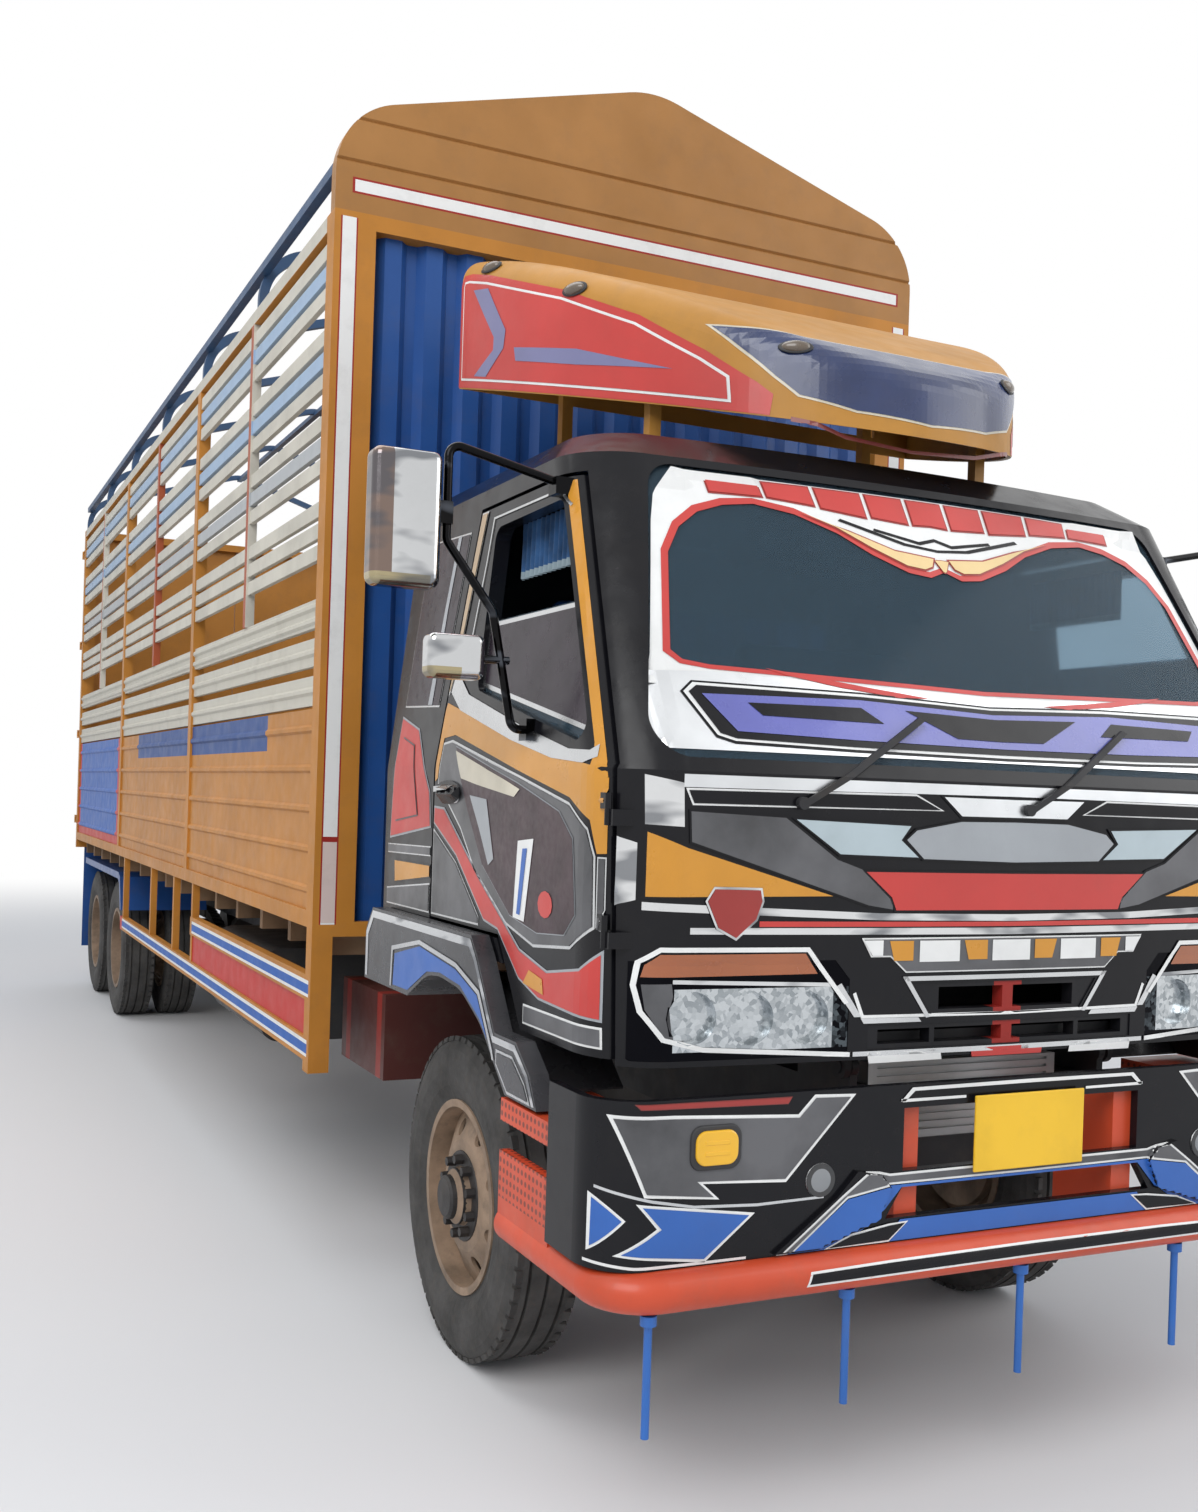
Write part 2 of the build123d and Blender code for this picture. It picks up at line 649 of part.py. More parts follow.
def bumper():
    """The wrap-round front bumper with its two mouths, raised arms and lamp pockets."""
    z0 = BUMPER_TUBE_Z + TUBE_R + RUN_GAP
    height = BUMPER_TOP - z0
    corner = 140
    outer = extrude(Pos(0, 0, z0) * bumper_plan(BUMPER_HALF, BUMPER_FACE, corner, BUMPER_BACK), height)
    wall = BUMPER_WALL
    inside = bumper_plan(BUMPER_HALF - wall, BUMPER_FACE + wall, corner - wall, BUMPER_BACK + 10)
    shell = outer - extrude(Pos(0, 0, z0 - 1) * inside, height + 2)
    for side in (-1, 1):
        arm = [(side * x, z) for x, z in MOUTH_ARM]
        shell = shell.fuse(front_prism(arm, BUMPER_FACE - ARM_RELIEF, BUMPER_FACE + 2))
    for mouth in BUMPER_MOUTHS:
        shell = shell - front_prism(mouth, BUMPER_FACE - ARM_RELIEF - 5, BUMPER_FACE + BUMPER_WALL + 10)
    deep = BUMPER_FACE + 60
    for x in (-FOG_X, FOG_X):
        shell = shell - block(x - FOG_HALF, x + FOG_HALF, 0, deep, FOG_Z - FOG_RISE, FOG_Z + FOG_RISE)
    for x in (-SMALL_LAMP_X, SMALL_LAMP_X):
        shell = shell - along(0, deep, x, SMALL_LAMP_Z, SMALL_LAMP_R)
    return shell


def bumper_lamps():
    """Fog lamps and small round lamps seated in the bumper's pockets."""
    lamps = []
    for x in (-FOG_X, FOG_X):
        a, b = x - FOG_HALF, x + FOG_HALF
        lamp = block(a, b, BUMPER_FACE - 6, BUMPER_FACE + 60, FOG_Z - FOG_RISE, FOG_Z + FOG_RISE)
        lamps.append(fillet(lamp.faces().sort_by(Axis.Y)[0].edges(), 5))
    for x in (-SMALL_LAMP_X, SMALL_LAMP_X):
        lamps.append(along(BUMPER_FACE - 4, BUMPER_FACE + 50, x, SMALL_LAMP_Z, SMALL_LAMP_R - RUN_GAP))
    return lamps


def bumper_frame():
    """The lower tube with its side steps and the struts that carry the bumper."""
    bend = 120
    reach = BUMPER_HALF - TUBE_R
    path = FilletPolyline(
        (-reach, Y(STEP_BACK), BUMPER_TUBE_Z), (-reach, Y(TUBE_R), BUMPER_TUBE_Z),
        (reach, Y(TUBE_R), BUMPER_TUBE_Z), (reach, Y(STEP_BACK), BUMPER_TUBE_Z), radius=bend)
    tube = sweep(Plane(origin=path @ 0, z_dir=path % 0) * Circle(TUBE_R), path=path)
    inside = BUMPER_HALF - 10
    behind = BUMPER_BACK + CLEAR
    steps = []
    for side in (-1, 1):
        steps.append(block(side * (inside - 30), side * inside, behind, STEP_BACK, BUMPER_TUBE_Z, 850))
        steps.append(block(side * 980, side * inside, behind, STEP_BACK, 930, 990))
        steps.append(block(side * 980, side * 1010, behind, STEP_BACK, BUMPER_TUBE_Z + 60, 940))
        tread = BUMPER_TUBE_Z + 10
        steps.append(block(side * 980, side * (inside - 20), behind, STEP_BACK, tread, tread + 60))
        steps.append(block(side * (RAIL_HALF - 2), side * 1000, 560, 620, 820, 900))
    struts = []
    for side in (-1, 1):
        x0, x1 = side * (RAIL_HALF - 90), side * (RAIL_HALF - 20)
        struts.append(block(x0, x1, BUMPER_FACE + BUMPER_WALL, RAIL_START, BUMPER_TUBE_Z, 1040))
    rods = [step - block(-RAIL_HALF, RAIL_HALF, 0, 3000, 0, 2000) for step in steps]
    return joined([tube] + rods + struts)


def hanging_rods():
    """Five stiff straps that hang under the lower tube from small lugs."""
    top = BUMPER_TUBE_Z - TUBE_R - RUN_GAP
    rods = []
    for x in ROD_STATIONS:
        lug = upright(top - 24, top, x, TUBE_R, 20)
        rods.append(joined([lug, upright(top - 290, top - 20, x, TUBE_R, 10)]))
    return rods


# Cab

def cab_section(z, half, front, rear, inset):
    """One plan section of the cab, pulled in by the inset."""
    w = half - inset
    f = Y(front + inset)
    b = Y(rear - inset)
    r = CAB_CORNER_R - inset
    near = f + CAB_BOW
    k = r * (1 - sqrt(0.5))
    edges = [
        Line((w, b), (-w, b)),
        Line((-w, b), (-w, near + r)),
        ThreePointArc((-w, near + r), (-w + k, near + k), (-w + r, near)),
        ThreePointArc((-w + r, near), (0, f), (w - r, near)),
        ThreePointArc((w - r, near), (w - k, near + k), (w, near + r)),
        Line((w, near + r), (w, b)),
    ]
    return Pos(0, 0, z) * make_face(edges)


def cab_body(inset, top_drop):
    """The cab's outer form, or the same form pulled in on all sides."""
    low = (CAB_BOTTOM - 10 if inset else CAB_BOTTOM,) + CAB_SECTIONS[0][1:]
    rows = [low] + CAB_SECTIONS[1:-1]
    z, half, front, rear = CAB_SECTIONS[-1]
    pull = top_drop * (CAB_SECTIONS[-1][2] - CAB_SECTIONS[-2][2]) / (CAB_SECTIONS[-1][0] - CAB_SECTIONS[-2][0])
    rows.append((z - top_drop, half + top_drop, front - pull, rear))
    return loft([cab_section(*row, inset) for row in rows], ruled=True)


def cab_band(inner, outer=0):
    """The skin between two insets of the cab's form."""
    return cab_body(outer, outer) - cab_body(inner, inner)


def outline_prism(outline, amount, x0, x1):
    """A side outline, grown by a gap, extruded from x0 to x1."""
    face = make_face(Polyline([(Y(s), z) for s, z in outline], close=True))
    if amount:
        face = offset(face, amount, kind=Kind.INTERSECTION)
    return extrude(Pos(x0, 0, 0) * (Plane.YZ * face), x1 - x0, dir=(1, 0, 0))


def rounded(prism, axis, r):
    """Round the edges of a prism that run along its axis."""
    return fillet(prism.edges().filter_by(axis), r)


def headlamps():
    """Both headlamp units: the lens block with its three reflector bowls."""
    units = []
    for side in (-1, 1):
        outline = [(side * x, z) for x, z in HEADLAMP]
        unit = cab_band(46, 2) & front_prism(outline, 0, DOOR_FRONT - 28)
        for x, z, r in HEADLAMP_BOWLS:
            unit = unit - (cab_band(BOWL_DEPTH, -20) & along(0, DOOR_FRONT, side * x, z, r))
        units.append(unit)
    return units


def grille():
    """The upper and the lower grille, each a plate with its slots."""
    plates = []
    upper = (GRILLE_UPPER, (-240, -10, 10, 240))
    lower = (GRILLE_LOWER, (-430, -250, -10, 10, 250, 430))
    for outline, bars in (upper, lower):
        plate = cab_band(44, 4) & front_prism(outline, 0, 300)
        z0 = min(z for _, z in outline) + 12
        z1 = max(z for _, z in outline) - 12
        for a, b in zip(bars, bars[1:]):
            if b - a > 30:
                plate = plate - block(a + 8, b - 8, 0, 300, z0, z1)
        plates.append(plate)
    return plates


def cab_glass():
    """The windscreen and the rear window's pane."""
    hole = rounded(front_prism(WINDSCREEN, 0, 900), Axis.Y, 90)
    pane = (cab_band(24, 14) & hole) - block(-CAB_WIDE, CAB_WIDE, 860, 3000, 0, 4000)
    rear = rounded(front_prism(REAR_WINDOW, CAB_REAR - 40, CAB_REAR - 32), Axis.Y, 60)
    return [pane, rear]


def cab_floor():
    """The stepped cab floor with the two ears that it tilts on."""
    hollow = cab_body(CAB_WALL, CAB_WALL)
    thick = 60
    step = CAB_STEP_BACK - thick
    flat = hollow & block(-CAB_WIDE, CAB_WIDE, 0, CAB_STEP_BACK, CAB_BOTTOM, CAB_BOTTOM + thick)
    riser = hollow & block(-CAB_WIDE, CAB_WIDE, step, CAB_STEP_BACK, CAB_BOTTOM, CAB_FLOOR_Z + thick)
    raised = hollow & block(-CAB_WIDE, CAB_WIDE, step, CAB_REAR, CAB_FLOOR_Z, CAB_FLOOR_Z + thick)
    ears = []
    reach = 34
    for side in (-1, 1):
        x0, x1 = side * (RAIL_HALF + 24), side * (RAIL_HALF + 44)
        s0, s1 = TILT_STATION - reach, TILT_STATION + reach
        boss = across(x0, x1, TILT_STATION, TILT_Z, reach)
        ear = joined([boss, block(x0, x1, s0, s1, TILT_Z, CAB_BOTTOM + 1)])
        ears.append(ear - across(x0 - side * 5, x1 + side * 5, TILT_STATION, TILT_Z, TILT_PIN_R + RUN_GAP))
    return joined([flat, riser, raised] + ears) - door_sweep()


def cab_pieces():
    """The cab's shell behind the door line and the front panel ahead of it."""
    skin = cab_band(CAB_WALL)
    below = block(-CAB_WIDE, CAB_WIDE, CAB_STEP_BACK, CAB_REAR + 100, CAB_BOTTOM - 50, CAB_FLOOR_Z)
    skin = skin - below
    side_zone = block(-CAB_WIDE, CAB_WIDE, 0, DOOR_FRONT + 60, CAB_BOTTOM - 50, SILL_Z)
    doorway = outline_prism(DOOR_OUTLINE, SHUT_GAP, -CAB_WIDE, CAB_WIDE)
    under_doors = block(-CAB_WIDE, CAB_WIDE, DOOR_FRONT - SHUT_GAP, CAB_STEP_BACK + 120, 1000, 1200)
    doorway = doorway.fuse(under_doors)

    front = (skin & side_zone) - doorway
    for side in (-1, 1):
        front = front - front_prism([(side * x, z) for x, z in HEADLAMP], 0, DOOR_FRONT - 28)
    front = front - front_prism(GRILLE_UPPER, 0, 300) - front_prism(GRILLE_LOWER, 0, 300)

    screen_hole = rounded(front_prism(WINDSCREEN, 0, 900), Axis.Y, 90)
    rear_window = rounded(front_prism(REAR_WINDOW, CAB_REAR - 100, CAB_REAR + 100), Axis.Y, 60)
    shell = (skin - side_zone) - doorway - screen_hole - rear_window
    return shell, front


def door_sweep():
    """The room that the doors' front edges turn through, on both sides."""
    pin_x = CAB_SECTIONS[0][1] - DOOR_PIN_IN
    pin_s = DOOR_FRONT - DOOR_PIN_AHEAD
    turn = upright(CAB_BOTTOM - 50, SILL_Z + 50, pin_x, pin_s, DOOR_SWEEP_R)
    return turn.fuse(other_side(turn))


def door_pieces():
    """The left door's panel, its half-lowered glass and its mirrors."""
    panel = cab_band(CAB_WALL - 10) & outline_prism(DOOR_OUTLINE, 0, 900, 1400)
    window = rounded(outline_prism(WINDOW_OUTLINE, 0, 800, 1400), Axis.X, 40)
    panel = panel - window
    lean = (CAB_SECTIONS[1][1] - CAB_SECTIONS[2][1]) / (CAB_SECTIONS[2][0] - CAB_SECTIONS[1][0])
    x_low = CAB_SECTIONS[1][1] - 28
    slab = [(x_low, SILL_Z), (x_low + 7, SILL_Z), (x_low + 7 - lean * 880, 2760), (x_low - lean * 880, 2760)]
    glass = (front_prism(slab, 200, 1600) & window) - block(800, 1400, 0, 3000, GLASS_TOP, 3000)
    handle = joined([block(1186, 1212, 1250, 1400, 1800, 1822), block(1180, 1212, 1250, 1268, 1800, 1822),
                     block(1180, 1212, 1382, 1400, 1800, 1822)])
    pin_x = CAB_SECTIONS[0][1] - DOOR_PIN_IN
    pin_s = DOOR_FRONT - DOOR_PIN_AHEAD
    fixed, moving = [], []
    for z in DOOR_HINGE_Z:
        fixed.append(upright(z, z + 40, pin_x, pin_s, DOOR_KNUCKLE_R))
        fixed.append(block(pin_x - 66, pin_x, pin_s - 26, pin_s - 14, z, z + 40))
        fixed.append(block(pin_x - 8, pin_x, pin_s - 26, pin_s, z, z + 40))
        fixed.append(upright(z + 39, z + 74, pin_x, pin_s, 4))
        leaf = joined([upright(z + 40 + RUN_GAP, z + 80, pin_x, pin_s, DOOR_KNUCKLE_R),
                       block(pin_x - 8, pin_x, pin_s, pin_s + 46, z + 40 + RUN_GAP, z + 80),
                       block(pin_x - 40, pin_x, pin_s + 34, pin_s + 46, z + 40 + RUN_GAP, z + 80)])
        moving.append(leaf - upright(z + 30, z + 75, pin_x, pin_s, 4 + RUN_GAP))
    panel = joined([panel, handle] + moving)
    return panel, glass, fixed


def mirror_set():
    """The left mirror arm with a large and a small mirror head."""
    waist, top = 1195, 1122
    arm_s = MIRROR_S
    route = [(top, 2672), (1440, 2740), (1440, 2480), (1300, 2300), (1236, 1985), (waist, 1985)]
    path = FilletPolyline(*[(x, Y(arm_s), z) for x, z in route], radius=30)
    tube = sweep(Plane(origin=path @ 0, z_dir=path % 0) * Circle(12), path=path)
    lean = (CAB_SECTIONS[1][1] - CAB_SECTIONS[2][1]) / (CAB_SECTIONS[2][0] - CAB_SECTIONS[1][0])
    top_x = CAB_SECTIONS[1][1] - lean * (2662 - SILL_Z)
    low_x = CAB_SECTIONS[1][1] - lean * (1985 - SILL_Z)
    pads = [block(top_x - 20, top_x + 34, arm_s - 26, arm_s + 26, 2636, 2684),
            block(low_x - 20, low_x + 24, arm_s - 26, arm_s + 26, 1955, 2015)]
    pads = [pad - cab_body(-RUN_GAP, 0) for pad in pads]
    x0, x1, z0, z1 = BIG_MIRROR
    big = fillet(block(x0, x1, arm_s - 60, arm_s + 30, z0, z1).edges(), 26)
    clip = block(1430, 1480, arm_s - 22, arm_s + 22, 2520, 2580)
    x0, x1, z0, z1 = SMALL_MIRROR
    small = fillet(block(x0, x1, arm_s - 45, arm_s + 35, z0, z1).edges(), 22)
    link = across(1250, 1340, arm_s, 2170, 11)
    return joined([tube, big, clip, small, link] + pads)


def visor_form(inset):
    """The deflector's solid form, pulled in on all sides but the rear by the inset."""
    half, s = VISOR_CHEEK
    nose = ThreePointArc((-half, Y(s)), (0, Y(VISOR_NOSE)), (half, Y(s)))
    tail_half, tail = VISOR_TAIL
    left = TangentArc((half, Y(s)), (tail_half, Y(tail)), tangent=nose % 1)
    right = TangentArc((-half, Y(s)), (-tail_half, Y(tail)), tangent=(nose % 0) * -1)
    plan = make_face([nose, left, Line((tail_half, Y(tail)), (-tail_half, Y(tail))), right])
    if inset:
        plan = offset(plan, -inset, kind=Kind.INTERSECTION)
    body = extrude(Pos(0, 0, VISOR_BOTTOM[0][1] - 60) * plan, 900, dir=(0, 0, 1))
    drop = inset * 1.2
    top = ThreePointArc(*[(Y(station), z - drop) for station, z in VISOR_TOP])
    low = 120 if inset else 0
    bottom = [(Y(station), z - low) for station, z in VISOR_BOTTOM]
    edges = [top, Polyline([top @ 1, bottom[0], bottom[1], top @ 0])]
    side = extrude(Pos(-1100, 0, 0) * (Plane.YZ * make_face(edges)), 2200, dir=(1, 0, 0))
    body = body & side
    roof = max(body.faces(), key=lambda face: face.normal_at().Z)
    rim = [e for e in roof.edges() if e.center().Y < Y(tail - inset) - 1]
    return fillet(rim, VISOR_SOFT - inset)


def visor():
    """The roof deflector: a hollow fairing with soft upper edges on four struts."""
    tail = VISOR_TAIL[1]
    half, z0, z1 = VISOR_BACK_OPENING
    shell = visor_form(0) - visor_form(VISOR_WALL)
    shell = shell - block(-half, half, tail - 40, tail + 20, z0, z1)
    sky = side_prism([(station, z + VISOR_STRUT_RISE) for station, z in VISOR_TOP] + [(500, 4000), (1990, 4000)], -1100, 1100)
    arm = 20
    struts = []
    for x, s in VISOR_STRUTS:
        struts += both(block(x - arm, x + arm, s - arm, s + arm, CAB_SECTIONS[-1][0], 3800) - sky)
    return joined([shell] + struts)


def softened(outline, corners, r):
    """A side face with the named corners rounded."""
    face = make_face(Polyline([(Y(s), z) for s, z in outline], close=True))
    spots = [(Y(s), z) for s, z in corners]
    picked = [v for v in face.vertices() if any(abs(v.X - y) + abs(v.Y - z) < 1 for y, z in spots)]
    return fillet(picked, r)


def arch_flare():
    """The left wheel-arch flare: side skin and the curved liner over the tyre."""
    x0, x1 = CAB_HALF + 5, FLARE_OUT
    rear, low = FLARE_OUTER[0]
    skin = softened(FLARE_OUTER + FLARE_OPENING, FLARE_OPENING[2:-1], FLARE_SOFT)
    skin = extrude(Pos(x0, 0, 0) * (Plane.YZ * skin), x1 - x0, dir=(1, 0, 0))
    corners = [e for e in skin.edges().filter_by(Axis.X) if abs(e.center().Y - Y(rear)) < 1]
    skin = fillet([e for e in corners if e.center().Z > low + 10], FLARE_CORNER)
    under = [(FLARE_OPENING[0][0], 0)] + FLARE_OPENING + [(rear, low), (rear, 0)]
    hollow = softened(under, FLARE_OPENING[2:-1], FLARE_SOFT)
    sheet = offset(hollow, FLARE_SHEET, kind=Kind.INTERSECTION) - hollow
    liner = extrude(Pos(FLARE_IN, 0, 0) * (Plane.YZ * sheet), x1 - FLARE_IN, dir=(1, 0, 0))
    liner = liner & block(0, 2000, FLARE_OUTER[-1][0], rear, FLARE_OPENING[0][1], 2000)
    gussets = [block(1100, x0 + 5, s, s + 20, low, CAB_FLOOR_Z) for s in (1250, 1900)]
    gussets = [gusset - extrude(Plane.YZ * hollow, x1, dir=(1, 0, 0)) for gusset in gussets]
    return joined([skin, liner] + gussets)


def dashboard():
    """The dashboard across the cab behind the windscreen."""
    outline = [(150, 1560), (520, 1560), (700, 1700), (700, 1820), (560, 1872), (150, 1872)]
    block_form = side_prism(outline, -1200, 1200)
    return (block_form & cab_body(CAB_WALL + RUN_GAP, CAB_WALL)) - door_sweep()


def steering_wheel():
    """Steering wheel, spokes and column on the right-hand side."""
    x, s, z = -600, 880, 1990
    tilt = Pos(x, Y(s), z) * Rot(-32, 0, 0)
    rim = tilt * Torus(220, 14)
    hub = tilt * Cylinder(48, 40)
    spokes = tilt * Box(440, 28, 14)
    spoke = tilt * Pos(0, 110, 0) * Box(28, 220, 14)
    column = tilt * Pos(0, 0, -130) * Cylinder(28, 240)
    column = column - block(-1000, 0, 0, 700, 1000, 3000)
    return joined([rim, hub, spokes, spoke, column])


def seat(x0, x1):
    """One seat: cushion on its pedestal, and the backrest."""
    base_z = CAB_FLOOR_Z + 60
    pedestal = block(x0 + 60, x1 - 60, 1230, 1600, base_z, 1600)
    cushion = block(x0, x1, 1130, 1640, 1595, 1740)
    cushion = fillet(cushion.edges(), 30)
    back = side_prism([(1570, 1700), (1700, 1700), (1850, 2400), (1760, 2420)], x0 + 10, x1 - 10)
    back = fillet(back.edges(), 25)
    return joined([pedestal, cushion, back])


def curtains():
    """A short gathered curtain above each door window, hung inside the cab."""
    return [block(x0, x1, 800, 1240, 2340, 2640) for x0, x1 in ((-1030, -1005), (1005, 1030))]


def wipers():
    """Two long windscreen wipers parked across the lower glass."""
    layer = cab_band(-10, -20)
    root = cab_band(-RUN_GAP, -20)
    solids = []
    for x0, x1 in ((-680, -260), (40, 470)):
        pivot = root & along(50, 300, x0, WIPER_Z, 16)
        blade = [(x0 - 9, WIPER_Z), (x0 + 9, WIPER_Z - 8), (x1, 2040), (x1 - 16, 2048)]
        arm = layer & front_prism(blade, 0, 500)
        solids.append(joined([pivot, arm]))
    return solids


# Cargo body

def post_stations():
    """Middles of the long posts between the bays."""
    return [BODY_FRONT + BAY * i for i in range(1, BAYS)]


def bay_spans():
    """Clear span of each bay between its posts."""
    first = [BODY_FRONT + CORNER_DEPTH] + [s + POST_WIDTH / 2 for s in post_stations()]
    last = [s - POST_WIDTH / 2 for s in post_stations()] + [BODY_REAR - REAR_POST_DEPTH]
    return list(zip(first, last))


def cargo_frame():
    """Corner posts, side posts, rails, headers and sills of the cargo body."""
    half = BODY_HALF
    pieces = []
    for side in (-1, 1):
        def bar(depth, s0, s1, z0, z1):
            return block(side * (half - depth), side * half, s0, s1, z0, z1)

        pieces.append(bar(CORNER_WIDTH, BODY_FRONT, BODY_FRONT + CORNER_DEPTH, BODY_BOTTOM, BODY_TOP))
        pieces.append(bar(REAR_POST_WIDTH, BODY_REAR - REAR_POST_DEPTH, BODY_REAR, BODY_BOTTOM, BODY_TOP))
        for s in post_stations():
            pieces.append(bar(POST_DEPTH, s - POST_WIDTH / 2, s + POST_WIDTH / 2, BODY_BOTTOM, BODY_TOP))
        pieces.append(bar(POST_DEPTH, BODY_FRONT, BODY_REAR, BODY_TOP - RAIL_DEEP, BODY_TOP))
        pieces.append(bar(POST_DEPTH, BODY_FRONT, BODY_REAR, BODY_BOTTOM, BOARDS[0][0]))
    pieces.append(block(-half, half, BODY_FRONT, BODY_FRONT + 90, BODY_TOP - RAIL_DEEP, BODY_TOP))
    pieces.append(block(-half, half, BODY_REAR - 70, BODY_REAR, BODY_TOP - RAIL_DEEP, BODY_TOP))
    pieces.append(block(-half, half, BODY_REAR - 60, BODY_REAR, BODY_BOTTOM - 70, DECK_TOP))
    pieces.append(block(-half, half, BODY_FRONT, BODY_FRONT + 38, BODY_BOTTOM - 30, DECK_TOP))
    for side in (-1, 1):
        x = side * half
        for z in LEAF_HINGE_Z:
            for dz in (-34, 22):
                depth = LEAF_PIN_DEPTH
                pieces.append(block(x - 4, x + 4, BODY_REAR - 20, BODY_REAR + depth, z + dz, z + dz + 12))
                pieces.append(upright(z + dz, z + dz + 12, x, BODY_REAR + depth, LEAF_KNUCKLE_R))
            pieces.append(upright(z - 30, z + 30, x, BODY_REAR + LEAF_PIN_DEPTH, 6))
    return joined(pieces)


def cargo_floor():
    """Deck, cross-bearers and long sills that sit on the chassis rails."""
    inside = BODY_HALF - POST_DEPTH
    start, stop = BODY_FRONT + CORNER_DEPTH, BODY_REAR - REAR_POST_DEPTH
    deck = block(-inside, inside, start, stop, DECK_TOP - DECK_PLANK, DECK_TOP)
    bearer_z = RAIL_TOP + 110
    bearers = []
    count = 16
    first, last = BODY_FRONT + 150, BODY_REAR - 140
    for i in range(count):
        s = first + (last - first) * i / (count - 1)
        bearers.append(block(-inside + 20, inside - 20, s - 25, s + 25, bearer_z, DECK_TOP - DECK_PLANK))
    sill = block(RAIL_HALF - 80, RAIL_HALF, BODY_FRONT + 100, BODY_REAR - 100, RAIL_TOP, bearer_z + 1)
    sills = both(sill)
    return joined([deck] + bearers + sills)


def board(s0, s1, z0, z1, ribs):
    """One ribbed board of the left side between two posts."""
    back = BODY_HALF - RIB_DEPTH - BOARD_THICK
    face = BODY_HALF - RIB_DEPTH
    pitch = (z1 - z0) / (ribs + 0.0)
    outline = [(back, z0), (face, z0)]
    for i in range(ribs):
        z = z0 + pitch * (i + 0.5)
        outline += [(face, z - RIB_WIDTH / 2), (face + RIB_DEPTH - 2, z - RIB_WIDTH / 5),
                    (face + RIB_DEPTH - 2, z + RIB_WIDTH / 5), (face, z + RIB_WIDTH / 2)]
    outline += [(face, z1), (back, z1)]
    return front_prism(outline, s0, s1)


def side_boards():
    """Ribbed boards of both sides, one per bay and row."""
    solids = []
    for s0, s1 in bay_spans():
        for z0, z1, ribs in BOARDS:
            solids += both(board(s0, s1, z0, z1, ribs))
    return solids


def side_slats():
    """Slats of both sides, those of a bay carried by its short middle post."""
    solids = []
    for s0, s1 in bay_spans():
        mid = (s0 + s1) / 2
        w = SHORT_POST_WIDTH / 2
        post_bottom = BOARDS[-1][1]
        pieces = [block(SLAT_FACE - 34, SLAT_FACE + 6, mid - w, mid + w, post_bottom, BODY_TOP - RAIL_DEEP)]
        for group in range(SLAT_GROUPS):
            for i in range(SLATS_IN_GROUP):
                top = SLAT_TOP - group * GROUP_PITCH - i * SLAT_PITCH
                pieces.append(block(SLAT_FACE - SLAT_THICK, SLAT_FACE, s0, s1, top - SLAT_HEIGHT, top))
        solids += both(joined(pieces))
    return solids


def front_wall():
    """The corrugated front wall between the corner posts."""
    edge = BODY_HALF - CORNER_WIDTH
    count = int(2 * edge / WALL_PITCH)
    pitch = 2 * edge / count
    near = BODY_FRONT + 42
    far = near + WALL_DEPTH
    front = []
    for i in range(count):
        x = -edge + i * pitch
        front += [(x, far), (x + pitch * 0.12, far), (x + pitch * 0.3, near), (x + pitch * 0.7, near),
                  (x + pitch * 0.88, far)]
    front.append((edge, far))
    back = [(x, s + WALL_SHEET) for x, s in reversed(front)]
    return plan_prism(front + back, DECK_TOP - DECK_PLANK, BODY_TOP - RAIL_DEEP)


def gable():
    """The folded panel above the front wall, with rounded shoulders and a soft ridge."""
    half = BODY_HALF
    ridge = (0, RIDGE_Z + RIDGE_SOFT)
    points = [(-half, BODY_TOP), (-half, EAVE_Z), ridge, (half, EAVE_Z), (half, BODY_TOP)]
    outline = Polyline(points, close=True)
    plane = Plane(origin=(0, Y(BODY_FRONT + GABLE_THICK), 0), x_dir=(1, 0, 0), z_dir=(0, -1, 0))
    panel = extrude(plane * make_face(outline), GABLE_THICK, dir=(0, -1, 0))
    top = [e for e in panel.edges().filter_by(Axis.Y) if abs(e.center().X) < 1]
    panel = fillet(top, GABLE_RIDGE_R)
    shoulders = [e for e in panel.edges().filter_by(Axis.Y) if abs(e.center().Z - EAVE_Z) < 1]
    panel = fillet(shoulders, GABLE_SHOULDER)
    for z in GABLE_FOLDS:
        fold = [(BODY_FRONT - 1, z - 9), (BODY_FRONT + 9, z), (BODY_FRONT - 1, z + 9)]
        panel = panel - side_prism(fold, -half, half)
    return panel


def bow_outline(inset):
    """Front outline of one hoop, pulled in by the bar's thickness."""
    half = BODY_HALF - BOW_IN - inset
    eave = BOW_SIDE_Z + 20 - inset
    ridge = RIDGE_Z - BOW_DROP - inset
    return [(-half, BODY_TOP), (-half, eave), (0, ridge), (half, eave), (half, BODY_TOP)]


def bow_face(inset):
    """One hoop's filled front face, with round shoulders and a closed foot."""
    points = bow_outline(inset)
    arch = FilletPolyline(*points, radius=BOW_SHOULDER - inset)
    return make_face(arch.edges() + [Line(points[-1], points[0])])


def roof_hoops():
    """Arched hoops over the load space with the tubes that tie them."""
    plane = Plane(origin=(0, 0, 0), x_dir=(1, 0, 0), z_dir=(0, -1, 0))
    arch = bow_face(0) - bow_face(BOW_BAR)
    first = BODY_FRONT + BAY / 2
    pieces = []
    step = (BODY_REAR - 40 - first) / (BOWS - 1)
    for i in range(BOWS):
        s = first + step * i
        pieces.append(extrude(Pos(0, Y(s + BOW_BAR / 2), 0) * (plane * arch), BOW_BAR, dir=(0, -1, 0)))
    start, stop = BODY_FRONT + GABLE_THICK, BODY_REAR - 20
    for side in (-1, 1):
        x = side * (BODY_HALF - BOW_IN)
        pieces.append(block(x - side * BOW_BAR, x, start, stop, BOW_SIDE_Z - 60, BOW_SIDE_Z - 20))
    under_ridge = RIDGE_Z - BOW_DROP - BOW_BAR
    pieces.append(block(-20, 20, start, stop, under_ridge - 26, under_ridge + 4))
    return joined(pieces)


